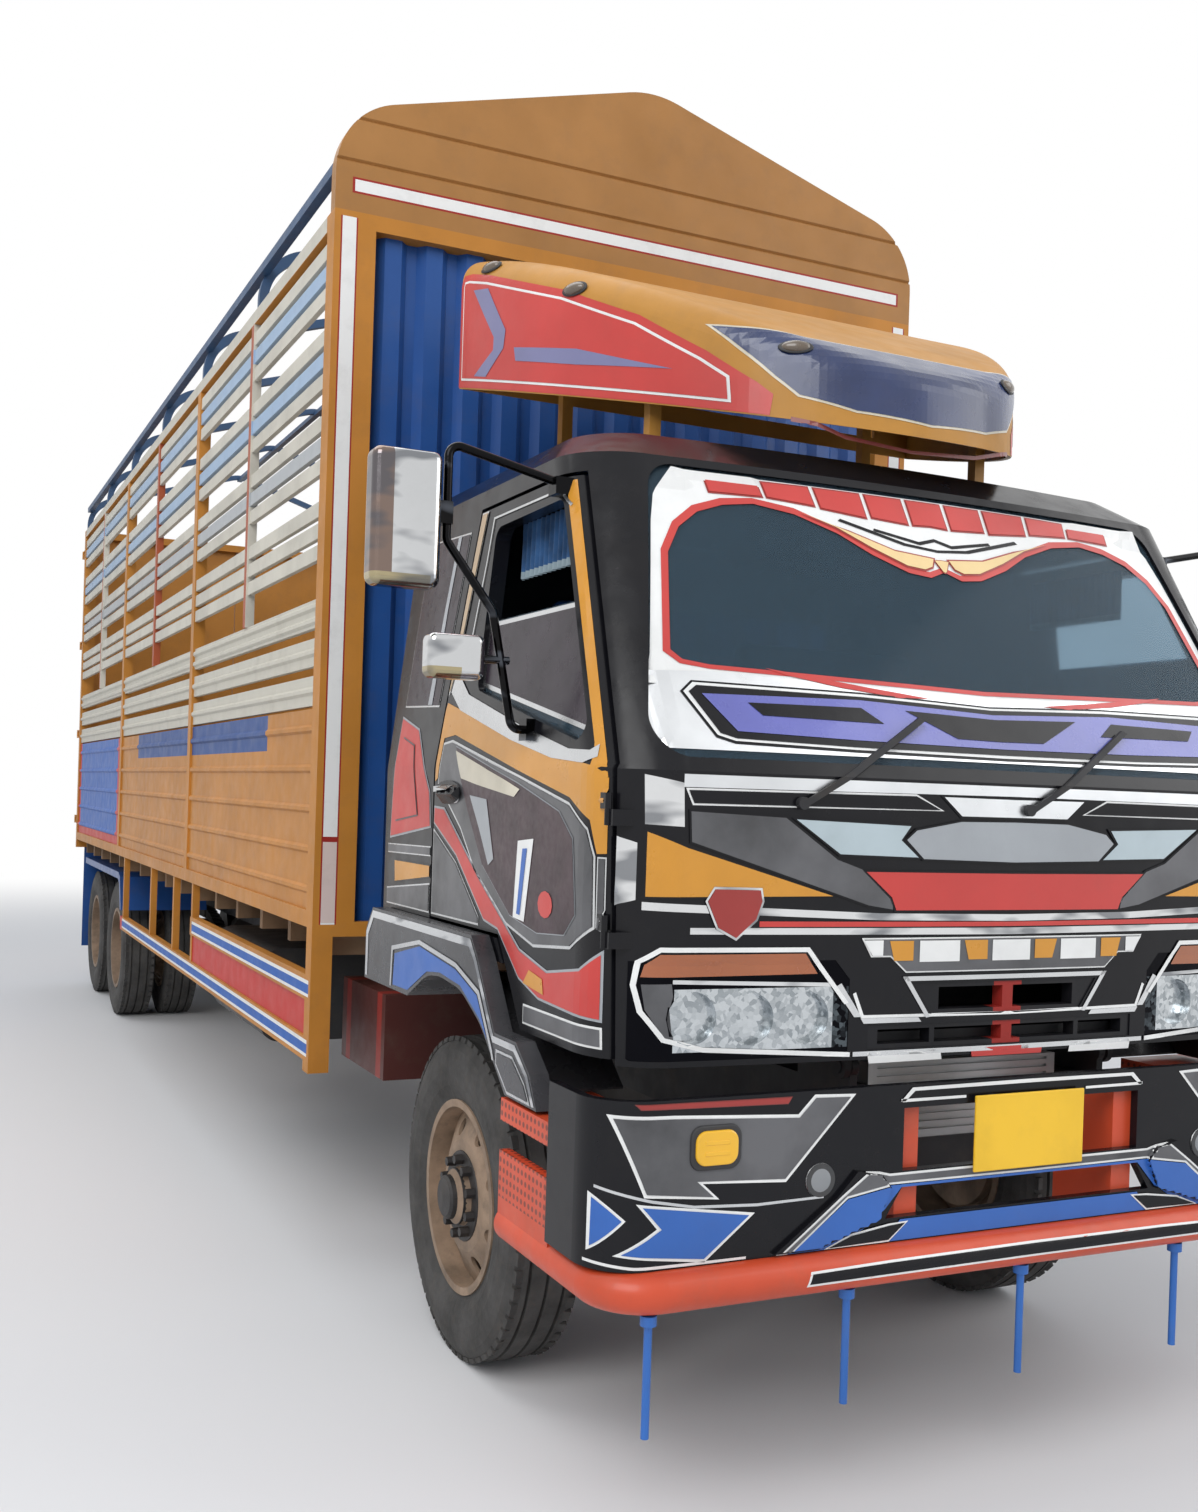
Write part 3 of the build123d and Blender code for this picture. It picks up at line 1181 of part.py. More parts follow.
def side_guard():
    """The left side guard: front post, two rails, a panel and uprights."""
    x1 = BODY_HALF
    x0 = x1 - GUARD_THICK
    pieces = [block(x1 - 80, x1, BODY_FRONT, BODY_FRONT + 80, GUARD_BOTTOM, BODY_BOTTOM - 30)]
    pieces.append(block(x1 - 60, x1, BODY_FRONT + 40, BODY_FRONT + 80, BODY_BOTTOM - 31, BODY_BOTTOM))
    for z0, z1, stop in GUARD_RAILS:
        pieces.append(block(x0, x1, BODY_FRONT + 40, stop, z0, z1))
    low_top, high_bottom = GUARD_RAILS[0][1], GUARD_RAILS[1][0]
    panel_end = GUARD_RAILS[1][2] - 40
    pieces.append(block(x0 + 12, x1 - 10, BODY_FRONT + 60, panel_end, low_top - 5, high_bottom + 5))
    for s in GUARD_POSTS:
        pieces.append(block(x0, x1 - 4, s - 40, s, GUARD_RAILS[0][0] + 4, BODY_BOTTOM))
    return joined(pieces)


def rear_guards():
    """Mudguards over the twin wheels and the flaps behind them."""
    solids = []
    inner = REAR_TYRE_OUT - 2 * TYRE_W - TWIN_GAP - 10
    outer = MUDGUARD_OUT
    z = RAIL_TOP + 70
    s0, s1 = REAR_AXLE - 620, REAR_AXLE + BOGIE_SPACING + 380
    outline = [(s0, z - 270), (s0 + 12, z - 270), (s0 + 112, z - 40), (s0 + 190, z - 12), (s1, z - 12), (s1, z),
               (s0 + 180, z), (s0 + 102, z - 30)]
    sheet = side_prism(outline, inner, outer)
    edge = [(s0 + 8, z - 270), (s0 + 60, z - 270), (s0 + 140, z - 80), (s0 + 210, z - 50), (s1, z - 50),
            (s1, z - 4), (s0 + 180, z - 4), (s0 + 104, z - 34)]
    lip = side_prism(edge, outer - 8, outer)
    hangers = [block(inner, inner + 30, s, s + 40, z - 2, DECK_TOP - DECK_PLANK) for s in GUARD_HANGERS]
    guard = joined([sheet, lip] + hangers)
    solids += both(guard)
    flap_s = BODY_REAR + CLEAR
    spacer = block(inner + 20, outer, BODY_REAR, flap_s + 2, BODY_BOTTOM - 60, BODY_BOTTOM - 10)
    flap = joined([block(inner + 10, outer, flap_s, flap_s + 8, 330, BODY_BOTTOM - 6), spacer])
    solids += both(flap)
    return solids


def tail_lamps():
    """Lamp blocks on the flaps' heads and the underrun bar between the wheels."""
    s = BODY_REAR + CLEAR + 8
    lamps = []
    for i in range(3):
        x0 = 690 + i * 170
        lamps += both(block(x0, x0 + 150, s, s + 36, 1120, 1215))
    return lamps


def tow_holes(s0, s1):
    """The tow coupling's centre bore and its four bolt holes."""
    holes = [along(s0, s1, 0, TOW_Z, TOW_BORE_R)]
    for x in (-TOW_BOLT_X / 2, TOW_BOLT_X / 2):
        for dz in (-TOW_BOLT_Z / 2, TOW_BOLT_Z / 2):
            holes.append(along(s0, s1, x, TOW_Z + dz, TOW_BOLT_R))
    return holes


def rear_bar():
    """The rear underrun bar on two drop brackets, with the tow coupling's plate."""
    s = RAIL_END
    plate = block(-RAIL_HALF, RAIL_HALF, s, s + 12, TOW_Z - 110, TOW_Z + 110)
    for hole in tow_holes(s - 5, s + 20):
        plate = plate - hole
    drops = [block(side * (RAIL_HALF - 70), side * (RAIL_HALF - 10), s + 11, s + 52, UNDERRUN_TOP - 10, TOW_Z)
             for side in (-1, 1)]
    bar = block(-UNDERRUN_HALF, UNDERRUN_HALF, s + 2, s + 62, UNDERRUN_TOP - 100, UNDERRUN_TOP)
    return joined([plate, bar] + drops)


def rear_leaf():
    """The left rear door leaf: ribbed panel in a frame, hinge straps and lock bars."""
    half = BODY_HALF
    s0 = BODY_REAR + LEAF_GAP
    s1 = s0 + LEAF_THICK
    x0, x1 = 3, half - LEAF_PIN_SIDE
    z0, z1 = BODY_BOTTOM + LEAF_SILL, BODY_TOP - 10
    leaf = block(x0, x1, s0, s1, z0, z1)
    rows = 5
    pitch = (z1 - z0 - 80) / rows
    for i in range(rows):
        low = z0 + 80 + i * pitch
        leaf = leaf - block(x0 + 80, x1 - 80, s1 - 22, s1 + 5, low, low + pitch - 80)
    bars = []
    for x in (x0 + 200, x1 - 330):
        bars.append(upright(z0 - 10, z1 + 4, x, s1 - 8, 12))
    handle = block(x0 + 200, x0 + 560, s1 - 8, s1 + 4, 1700, 1730)
    straps = []
    for z in LEAF_HINGE_Z:
        pin = BODY_REAR + LEAF_PIN_DEPTH
        strap = joined([upright(z - 20, z + 20, half, pin, LEAF_KNUCKLE_R),
                        block(half - 160, half, s1, s1 + 6, z - 20, z + 20),
                        block(half - 6, half + 6, s1, pin, z - 20, z + 20)])
        straps.append(strap - upright(z - 40, z + 40, half, pin, 6 + RUN_GAP))
    return joined([leaf] + bars + [handle] + straps)


def main():
    os.makedirs("parts", exist_ok=True)
    make_wheels()
    save("front_axle_beam", front_beam())
    left = knuckle()
    save("knuckle_left", left)
    save("knuckle_right", other_side(left))
    save("tie_rod", tie_rod())
    save("leaf_springs", springs())
    save("rear_axles", rear_axles())
    save("propeller_shafts", list(propeller_shafts()))
    save("chassis_frame", chassis_frame())
    save("engine_block", engine_block())
    save("radiator", radiator())
    save("side_tanks", tanks())
    save("bumper", bumper())
    save("bumper_lamps", bumper_lamps())
    save("bumper_frame", bumper_frame())
    save("hanging_rods", hanging_rods())

    shell, front = cab_pieces()
    panel, glass, fixed = door_pieces()
    hinges = fixed + [other_side(f) for f in fixed]
    save("cab_shell", shell)
    save("cab_front_panel", joined([front] + hinges))
    save("cab_floor", cab_floor())
    save("headlamps", headlamps())
    save("grille", grille())
    save("cab_glass", cab_glass())
    save("visor", visor())
    save("wheel_arch_flares", both(arch_flare()))
    save("dashboard", dashboard())
    save("steering_wheel", steering_wheel())
    save("seats", [seat(-880, -330), seat(80, 880)])
    save("curtains", curtains())
    save("wipers", wipers())
    save("door_left", panel)
    save("door_right", other_side(panel))
    save("door_glass_left", glass)
    save("door_glass_right", other_side(glass))
    mirrors = mirror_set()
    save("mirrors_left", mirrors)
    save("mirrors_right", other_side(mirrors))

    save("cargo_frame", cargo_frame())
    save("cargo_floor", cargo_floor())
    save("side_boards", side_boards())
    save("side_slats", side_slats())
    save("front_wall", front_wall())
    save("gable", gable())
    save("roof_hoops", roof_hoops())
    save("side_guards", both(side_guard()))
    save("rear_mudguards", rear_guards())
    save("tail_lamps", tail_lamps())
    save("rear_bar", rear_bar())
    leaf = rear_leaf()
    save("rear_door_left", leaf)
    save("rear_door_right", other_side(leaf))


main()
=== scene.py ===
"""Looks for the decorated truck: paint, glass, cloth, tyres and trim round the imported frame.

Outlines are in millimetres. "Station" is a distance back from the front of the
bumper's tube, the same datum that the truck's drawings use, and the front faces -Y.
"""

from __future__ import annotations

import logging
import math
from dataclasses import dataclass, field
from enum import Enum
from typing import Any

import bmesh
import bpy
from mathutils import Matrix, Vector
from mathutils.bvhtree import BVHTree
from mathutils.kdtree import KDTree


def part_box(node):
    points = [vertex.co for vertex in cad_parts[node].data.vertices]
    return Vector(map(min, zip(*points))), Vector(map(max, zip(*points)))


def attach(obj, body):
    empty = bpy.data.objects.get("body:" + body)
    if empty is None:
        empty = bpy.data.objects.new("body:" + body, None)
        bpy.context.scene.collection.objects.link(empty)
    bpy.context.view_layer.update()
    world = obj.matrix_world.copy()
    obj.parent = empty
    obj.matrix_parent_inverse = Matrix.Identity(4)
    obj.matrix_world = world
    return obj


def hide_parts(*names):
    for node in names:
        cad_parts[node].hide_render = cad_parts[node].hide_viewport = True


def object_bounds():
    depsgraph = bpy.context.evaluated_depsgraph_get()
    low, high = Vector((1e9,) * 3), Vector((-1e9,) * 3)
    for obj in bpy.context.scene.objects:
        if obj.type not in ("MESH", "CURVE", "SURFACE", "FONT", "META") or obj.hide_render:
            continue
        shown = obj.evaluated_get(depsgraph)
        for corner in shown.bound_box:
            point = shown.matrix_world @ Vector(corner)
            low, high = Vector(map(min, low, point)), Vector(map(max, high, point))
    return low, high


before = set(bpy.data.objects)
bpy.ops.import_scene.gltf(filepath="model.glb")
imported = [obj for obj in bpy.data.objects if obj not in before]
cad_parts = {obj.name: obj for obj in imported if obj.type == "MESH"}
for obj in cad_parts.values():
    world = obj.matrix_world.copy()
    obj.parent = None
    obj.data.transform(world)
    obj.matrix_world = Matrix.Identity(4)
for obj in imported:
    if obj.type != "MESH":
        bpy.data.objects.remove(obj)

LOG = logging.getLogger("truck")

Outline = tuple[tuple[float, float], ...]
Colour = tuple[float, float, float]
Range = tuple[float, float]

MM = 0.001
CAD_LOW, CAD_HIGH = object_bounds()
FRONT_EDGE = CAD_LOW[1]
SIDES = ((-1, "right"), (1, "left"))
WIDE: Range = (-2.0, 2.0)
LONG: Range = (-9.0, 9.0)


def station(mm: float) -> float:
    """Return the frame's Y in metres of a station in millimetres."""
    return FRONT_EDGE + mm * MM


def mirrored(side: int, near: float, far: float) -> Range:
    """Return a stretch of X in metres, lowest first, from two distances off the middle in millimetres."""
    low, high = sorted((side * near * MM, side * far * MM))
    return low, high


# Finishes


class Kind(Enum):
    """The families of surface that a finish can belong to."""

    PAINT = "paint"
    METAL = "metal"
    GLASS = "glass"
    RUBBER = "rubber"
    CLOTH = "cloth"
    WOOD = "wood"


class Pattern(Enum):
    """The small repeated patterns that a finish can carry; streaks and facets are painted reflections, holes
    painted shade.
    """

    PLAIN = "plain"
    # a reflector's facet cells darkened in turn: painted reflections
    FACETS = "facets"
    # pressed holes made dark: painted shade inside them
    HOLES = "holes"
    # dark streaks laid on chrome: painted reflections
    STREAKS = "streaks"


@dataclass(frozen=True)
class Zone:
    """A box in the frame, in metres."""

    low: tuple[float, float, float]
    high: tuple[float, float, float]


@dataclass(frozen=True)
class Patch:
    """A painted zone and its colour."""

    zone: Zone
    colour: Colour


def zone(z: Range, x: Range = WIDE, s: tuple[float | None, float | None] = (None, None)) -> Zone:
    """Return a box of the frame.

    Args:
        z: its height range, in metres.
        x: its range across the truck, in metres.
        s: its first and last station, in millimetres, with None for no end.

    Returns:
        The box.
    """
    front = LONG[0] if s[0] is None else station(s[0])
    back = LONG[1] if s[1] is None else station(s[1])
    return Zone((x[0], front, z[0]), (x[1], back, z[1]))


@dataclass(frozen=True)
class Finish:
    """A surface finish with its colour, gloss, grime and fine relief."""

    name: str
    kind: Kind
    colour: Colour
    rough: float = 0.35
    mottle: float = 0.10
    grime: float = 0.18
    scale: float = 2.4
    relief: float = 0.05
    coat: float = 0.0
    specular: float = 0.5
    pattern: Pattern = Pattern.PLAIN
    patches: tuple[Patch, ...] = ()
    region: Zone | None = None

    def material(self) -> bpy.types.Material:
        """Return this finish's material, made on first use."""
        found = bpy.data.materials.get(self.name)
        return found if found else FinishBuilder(self).build()

    def dress(self, node: str) -> None:
        """Give a CAD node this finish alone.

        Args:
            node: the node's name.
        """
        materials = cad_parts[node].data.materials
        materials.clear()
        materials.append(self.material())


class NodeGraph:
    """Adds nodes to one tree and joins them."""

    def __init__(self, tree: bpy.types.NodeTree) -> None:
        """Keep the tree that the nodes go in."""
        self.tree = tree

    def fill(self, node: bpy.types.Node, inputs: dict[str | int, Any]) -> None:
        """Set or join some of a node's inputs.

        Args:
            node: the node.
            inputs: a value, or the socket to join, for each input's name or number.
        """
        for key, value in inputs.items():
            if isinstance(value, bpy.types.NodeSocket):
                self.tree.links.new(value, node.inputs[key])
            else:
                node.inputs[key].default_value = value

    def add(self, kind: str, inputs: dict[str | int, Any] | None = None, **settings: Any) -> bpy.types.Node:
        """Add a node.

        Args:
            kind: its type, without the leading ShaderNode.
            inputs: its inputs, as fill takes them.
            settings: its own settings.

        Returns:
            The node.
        """
        node = self.tree.nodes.new(f"ShaderNode{kind}")
        for key, value in settings.items():
            setattr(node, key, value)
        self.fill(node, inputs or {})
        return node

    def pair(self, operation: str, first: bpy.types.NodeSocket,
             second: float | bpy.types.NodeSocket) -> bpy.types.NodeSocket:
        """Return the result of a math node on two inputs."""
        return self.add("Math", {0: first, 1: second}, operation=operation).outputs[0]

    def looked_at(self) -> bpy.types.NodeSocket:
        """Return 1 for camera, glossy and transmission rays and 0 for the rest.

        Returns:
            The socket.
        """
        path = self.add("LightPath")
        found = path.outputs["Is Camera Ray"]
        for key in ("Is Glossy Ray", "Is Transmission Ray"):
            found = self.pair("MAXIMUM", found, path.outputs[key])
        return found


class FinishBuilder(NodeGraph):
    """Builds the node tree of one finish."""

    dust: Colour = (0.11, 0.085, 0.06)
    # painted reflection: the dark streak colour laid over chrome
    painted_reflection_streak: Colour = (0.10, 0.11, 0.13)
    # painted reflection: the colour that a reflector's facet cells are darkened towards
    painted_facet_reflection: Colour = (0.16, 0.19, 0.21)
    # painted shade: the dark colour of the treads' holes
    hole: Colour = (0.05, 0.012, 0.006)
    peel: float = 90.0
    weave: float = 160.0
    grain: float = 3.6

    def __init__(self, finish: Finish) -> None:
        """Start an empty material.

        Args:
            finish: the finish that it will show.
        """
        self.finish = finish
        self.material = bpy.data.materials.new(finish.name)
        self.material.use_nodes = True
        super().__init__(self.material.node_tree)
        self.shader = self.tree.nodes["Principled BSDF"]
        self.place = self.add("TexCoord").outputs["Object"]

    def noise(self, scale: float, detail: float, rough: float = 0.55,
              place: bpy.types.NodeSocket | None = None) -> bpy.types.NodeSocket:
        """Return a noise value.

        Args:
            scale: features per metre.
            detail: octaves.
            rough: how strong the small octaves are.
            place: the coordinates, or None for the piece's own.

        Returns:
            The noise node's factor socket.
        """
        inputs = {"Scale": scale, "Detail": detail, "Roughness": rough, "Vector": place or self.place}
        return self.add("TexNoise", inputs).outputs[0]

    def ranged(self, value: bpy.types.NodeSocket, found: Range, given: Range) -> bpy.types.NodeSocket:
        """Return a value mapped from one range to another and clamped.

        Args:
            value: the socket to map.
            found: the range it comes in.
            given: the range it is mapped to.

        Returns:
            The mapped socket.
        """
        names = ("From Min", "From Max", "To Min", "To Max")
        return self.add("MapRange", {"Value": value, **dict(zip(names, found + given))}).outputs["Result"]

    def mixed(self, factor: bpy.types.NodeSocket, first: bpy.types.NodeSocket | Colour,
              second: Colour) -> bpy.types.NodeSocket:
        """Return a mix of two colours.

        Args:
            factor: 0 gives the first, 1 the second.
            first: a colour or a socket.
            second: a colour.

        Returns:
            The mixed colour socket.
        """
        start = first if isinstance(first, bpy.types.NodeSocket) else (*first, 1.0)
        return self.add("Mix", {"Factor": factor, 6: start, 7: (*second, 1.0)}, data_type="RGBA").outputs[2]

    def axes(self) -> list[bpy.types.NodeSocket]:
        """Return the piece's own X, Y and Z."""
        return list(self.add("SeparateXYZ", {0: self.place}).outputs)

    def inside(self, box: Zone, axes: list[bpy.types.NodeSocket]) -> bpy.types.NodeSocket:
        """Return 1 inside a box and 0 outside.

        Args:
            box: the box.
            axes: the place's X, Y and Z.

        Returns:
            The socket.
        """
        result = None
        for value, low, high in zip(axes, box.low, box.high):
            above = self.pair("GREATER_THAN", value, low)
            both = self.pair("MULTIPLY", above, self.pair("LESS_THAN", value, high))
            result = both if result is None else self.pair("MULTIPLY", result, both)
        return result

    def regional(self, factor: bpy.types.NodeSocket) -> bpy.types.NodeSocket:
        """Return a pattern's strength, kept to the finish's region where it has one."""
        region = self.finish.region
        return factor if region is None else self.pair("MULTIPLY", factor, self.inside(region, self.axes()))

    def patterned(self, colour: bpy.types.NodeSocket) -> bpy.types.NodeSocket:
        """Return the colour with the finish's small pattern over it; streaks and facets are painted
        reflections, holes painted shade.

        Args:
            colour: the colour below.

        Returns:
            The colour socket.
        """
        pattern = self.finish.pattern
        # dark stretched streaks on metal: painted reflections
        if pattern is Pattern.STREAKS:
            stretched = self.add("Mapping", {"Scale": (3.0, 3.0, 9.0), "Vector": self.place}).outputs[0]
            strength = self.ranged(self.noise(1.4, 2.0, 0.5, stretched), (0.50, 0.60), (0.0, 0.72))
            return self.mixed(strength, colour, self.painted_reflection_streak)
        # facet cells darkened in turn: painted reflections in a reflector
        if pattern is Pattern.FACETS:
            cells = self.add("TexVoronoi", {"Vector": self.place, "Scale": 75.0})
            bright = self.add("SeparateColor", {0: cells.outputs["Color"]}).outputs[0]
            return self.mixed(self.regional(self.ranged(bright, (0.2, 0.9), (0.0, 0.6))), colour, self.painted_facet_reflection)
        # dark round holes: painted shade inside them
        if pattern is Pattern.HOLES:
            cells = self.add("TexVoronoi", {"Vector": self.place, "Scale": 40.0, "Randomness": 0.0})
            strength = self.ranged(cells.outputs["Distance"], (0.26, 0.34), (0.75, 0.0))
            return self.mixed(self.regional(strength), colour, self.hole)
        return colour

    def base_colour(self) -> bpy.types.NodeSocket:
        """Return the colour with its patches, its mottle and its grime.

        Returns:
            The socket.
        """
        finish = self.finish
        mottle = finish.mottle
        cloud = self.ranged(self.noise(finish.scale, 6.0), (0.35, 0.68), (0.0, 1.0))
        paler = tuple(min(1.0, c * (1 + mottle) + mottle * 0.04) for c in finish.colour)
        colour = self.mixed(cloud, paler, tuple(c * (1 - mottle) for c in finish.colour))
        if finish.patches:
            axes = self.axes()
            for patch in finish.patches:
                colour = self.mixed(self.inside(patch.zone, axes), colour, patch.colour)
        grime = self.ranged(self.noise(finish.scale * 3.1, 9.0, 0.7), (0.50, 0.78), (0.0, finish.grime))
        return self.mixed(grime, self.patterned(colour), self.dust)

    def build(self) -> bpy.types.Material:
        """Return the finished material.

        Returns:
            The material.
        """
        finish = self.finish
        metal = finish.kind is Kind.METAL
        rougher = min(1.0, finish.rough + (0.10 if metal else 0.16))
        smudge = self.ranged(self.noise(finish.scale * 5, 5.0), (0.3, 0.75), (finish.rough, rougher))
        inputs = {"Base Color": self.base_colour(), "Roughness": smudge, "Metallic": 1.0 if metal else 0.0,
                  "Specular IOR Level": finish.specular, "Coat Weight": finish.coat, "Coat Roughness": 0.08}
        if finish.kind is Kind.GLASS:
            inputs |= {"Transmission Weight": 0.85, "IOR": 1.12}
        if finish.kind is Kind.CLOTH:
            inputs["Sheen Weight"] = 0.15
        if finish.relief:
            inputs["Normal"] = self.relief()
        self.fill(self.shader, inputs)
        return self.material

    def relief(self) -> bpy.types.NodeSocket:
        """Return fine relief: orange peel on paint, a weave on cloth, grain on wood.

        Returns:
            The socket.
        """
        kind = self.finish.kind
        if kind in (Kind.CLOTH, Kind.WOOD):
            scale = self.weave if kind is Kind.CLOTH else self.grain
            inputs = {"Scale": scale, "Distortion": 1.2, "Vector": self.place}
            height = self.add("TexWave", inputs, bands_direction="X").outputs[1]
        else:
            height = self.noise(self.peel, 4.0)
        inputs = {"Strength": self.finish.relief, "Distance": 0.004, "Height": height}
        return self.add("Bump", inputs).outputs["Normal"]


OCHRE: Colour = (0.470, 0.192, 0.028)
CREAM: Colour = (0.560, 0.530, 0.450)
PALE_BLUE: Colour = (0.330, 0.450, 0.600)
FIELD_BLUE: Colour = (0.012, 0.060, 0.230)
SIGN_BLUE: Colour = (0.018, 0.110, 0.420)
WHITE: Colour = (0.780, 0.780, 0.760)
DARK_RED: Colour = (0.300, 0.020, 0.015)
SIGN_RED: Colour = (0.520, 0.035, 0.028)
BLACK: Colour = (0.006, 0.006, 0.008)


def enamel(name: str, colour: Colour, **looks: Any) -> Finish:
    """Return a painted finish.

    Args:
        name: the material's name.
        colour: its colour.
        looks: what differs from a plain finish.

    Returns:
        The finish.
    """
    return Finish(name, Kind.PAINT, colour, **looks)


def banded(name: str, base: Colour, patches: tuple[Patch, ...] = ()) -> Finish:
    """Return the body's weathered enamel, with painted zones.

    Args:
        name: the material's name.
        base: the colour outside every zone.
        patches: the painted zones, later ones on top.

    Returns:
        The finish.
    """
    return enamel(name, base, rough=0.45, coat=0.05, specular=0.25, patches=patches)


class Paint:
    """The named finishes of the truck."""

    ochre = enamel("ochre_enamel", OCHRE, rough=0.4, coat=0.1, specular=0.3)
    black = enamel("black_gloss", BLACK, rough=0.14, mottle=0.03, specular=0.24, grime=0.03, relief=0.02)
    satin = enamel("satin_black", (0.020, 0.020, 0.022), rough=0.5, specular=0.3, grime=0.30)
    white = enamel("white_line", WHITE, coat=0.3, grime=0.08)
    red = enamel("sign_red", SIGN_RED, coat=0.2, grime=0.08)
    dark_red = enamel("dark_red", DARK_RED, coat=0.3, grime=0.08)
    blue = enamel("sign_blue", SIGN_BLUE, coat=0.2, grime=0.08)
    violet = enamel("violet_blue", (0.110, 0.120, 0.420), coat=0.5, rough=0.2, grime=0.05)
    deep_blue = enamel("deep_blue", (0.014, 0.030, 0.105), coat=0.3, rough=0.22, grime=0.10, mottle=0.25)
    wall_blue = enamel("wall_blue", (0.013, 0.070, 0.260), coat=0.1, specular=0.3, grime=0.20)
    hoop_blue = enamel("hoop_blue", (0.020, 0.065, 0.150), rough=0.45, grime=0.22)
    smoke = enamel("smoke_film", (0.085, 0.085, 0.090), rough=0.28, coat=0.15, specular=0.35, grime=0.05,
                   mottle=0.35, scale=3.5)
    pale_film = enamel("pale_film", (0.420, 0.500, 0.530), rough=0.30, coat=0.3, grime=0.05)
    badge = enamel("badge_grey", (0.330, 0.350, 0.370), rough=0.3, coat=0.3, grime=0.05)
    flame = enamel("flame_cream", (0.760, 0.560, 0.270), rough=0.35, grime=0.05)
    sign_ochre = enamel("sign_ochre", (0.600, 0.260, 0.020), coat=0.2, rough=0.25, grime=0.06)
    picture = enamel("picture_dark", (0.040, 0.018, 0.024), rough=0.3, coat=0.1, specular=0.3, mottle=0.25,
                     scale=9.0)
    picture_pale = enamel("picture_pale", (0.620, 0.560, 0.430), rough=0.3, coat=0.5, mottle=0.2)
    # chrome with dark streaks across it, which are painted reflections
    chrome = Finish("chrome_sheet", Kind.METAL, (0.700, 0.710, 0.720), rough=0.12, mottle=0.04, grime=0.06,
                    pattern=Pattern.STREAKS)
    bright_trim = Finish("bright_trim", Kind.METAL, (0.620, 0.630, 0.640), rough=0.22, mottle=0.08,
                         grime=0.05)
    dull_metal = Finish("dull_metal", Kind.METAL, (0.420, 0.430, 0.440), rough=0.42, grime=0.20)
    silver = Finish("silver_band", Kind.METAL, (0.720, 0.740, 0.760), rough=0.26, mottle=0.10, grime=0.05)
    casting = enamel("oily_casting", (0.045, 0.038, 0.032), rough=0.6, grime=0.45, relief=0.2)
    rim = enamel("worn_rim", (0.235, 0.160, 0.105), rough=0.55, mottle=0.35, grime=0.60, scale=7.0,
                 relief=0.25)
    rubber = Finish("dusty_tyre", Kind.RUBBER, (0.040, 0.038, 0.036), rough=0.75, mottle=0.3, grime=0.30,
                    scale=8.0, relief=0.3)
    trim = enamel("black_plastic", (0.022, 0.022, 0.024), rough=0.5, relief=0.2)
    glass = Finish("tinted_glass", Kind.GLASS, (0.190, 0.290, 0.370), rough=0.02, mottle=0.02, grime=0.03,
                   relief=0.0)
    grey_lens = enamel("grey_lens", (0.210, 0.220, 0.230), rough=0.12, coat=0.8, grime=0.02)
    flank_blue = enamel("flank_blue", (0.180, 0.180, 0.330), rough=0.3, coat=0.2, grime=0.04)
    tint = enamel("window_tint", (0.022, 0.014, 0.022), rough=0.16, specular=0.2, mottle=0.25, scale=5.0,
                  grime=0.0)
    marker = enamel("marker_bronze", (0.110, 0.080, 0.055), rough=0.2, coat=0.6)
    flare = enamel("flare_smoke", (0.040, 0.040, 0.044), rough=0.22, coat=0.1, specular=0.35, grime=0.08,
                   mottle=0.3)
    pale_ochre = enamel("pale_ochre", (0.440, 0.300, 0.160), rough=0.3, coat=0.4, grime=0.06)
    hub = enamel("hub_black", (0.018, 0.016, 0.016), rough=0.45, grime=0.35, relief=0.2)
    amber = enamel("amber_glass", (0.780, 0.420, 0.010), rough=0.12, coat=0.6, grime=0.02)
    amber_dark = enamel("amber_band", (0.330, 0.085, 0.020), rough=0.15, coat=0.8, grime=0.05)
    tail = enamel("tail_glass", (0.450, 0.010, 0.010), rough=0.15, coat=0.8, grime=0.05)
    plum = enamel("plum_red", (0.200, 0.025, 0.020), rough=0.3, coat=0.3, grime=0.08)
    lamp_body = enamel("lamp_body", (0.030, 0.031, 0.033), rough=0.25, coat=0.2)
    plate = enamel("plate_yellow", (0.800, 0.480, 0.020), rough=0.4, grime=0.10)
    mirror_glass = Finish("mirror_glass", Kind.METAL, (0.850, 0.870, 0.890), rough=0.02, mottle=0.0,
                          grime=0.0, relief=0.0)
    planks = Finish("deck_planks", Kind.WOOD, (0.230, 0.140, 0.075), rough=0.7, mottle=0.3, grime=0.4,
                    relief=0.5)
    seat_cloth = Finish("seat_fabric", Kind.CLOTH, (0.060, 0.055, 0.085), rough=0.9, relief=0.3)
    curtain = Finish("pleated_cloth", Kind.CLOTH, (0.014, 0.075, 0.200), rough=0.85, relief=0.2, mottle=0.5,
                     scale=9.0, patches=(Patch(zone((2.400, 2.492)), (0.300, 0.380, 0.420)),))
    rod_blue = enamel("rod_blue", (0.020, 0.120, 0.420), rough=0.4)


# Shapes


def new_object(name: str, data: bpy.types.ID) -> bpy.types.Object:
    """Add an object to the scene.

    Args:
        name: its name.
        data: its data.

    Returns:
        The new object.
    """
    obj = bpy.data.objects.new(name, data)
    bpy.context.scene.collection.objects.link(obj)
    return obj


def mesh_object(name: str, bm: bmesh.types.BMesh, material: bpy.types.Material) -> bpy.types.Object:
    """Turn a bmesh into an object.

    Args:
        name: the object's name.
        bm: its mesh, freed here.
        material: its material.

    Returns:
        The new object.
    """
    mesh = bpy.data.meshes.new(name)
    bm.to_mesh(mesh)
    bm.free()
    mesh.materials.append(material)
    return new_object(name, mesh)


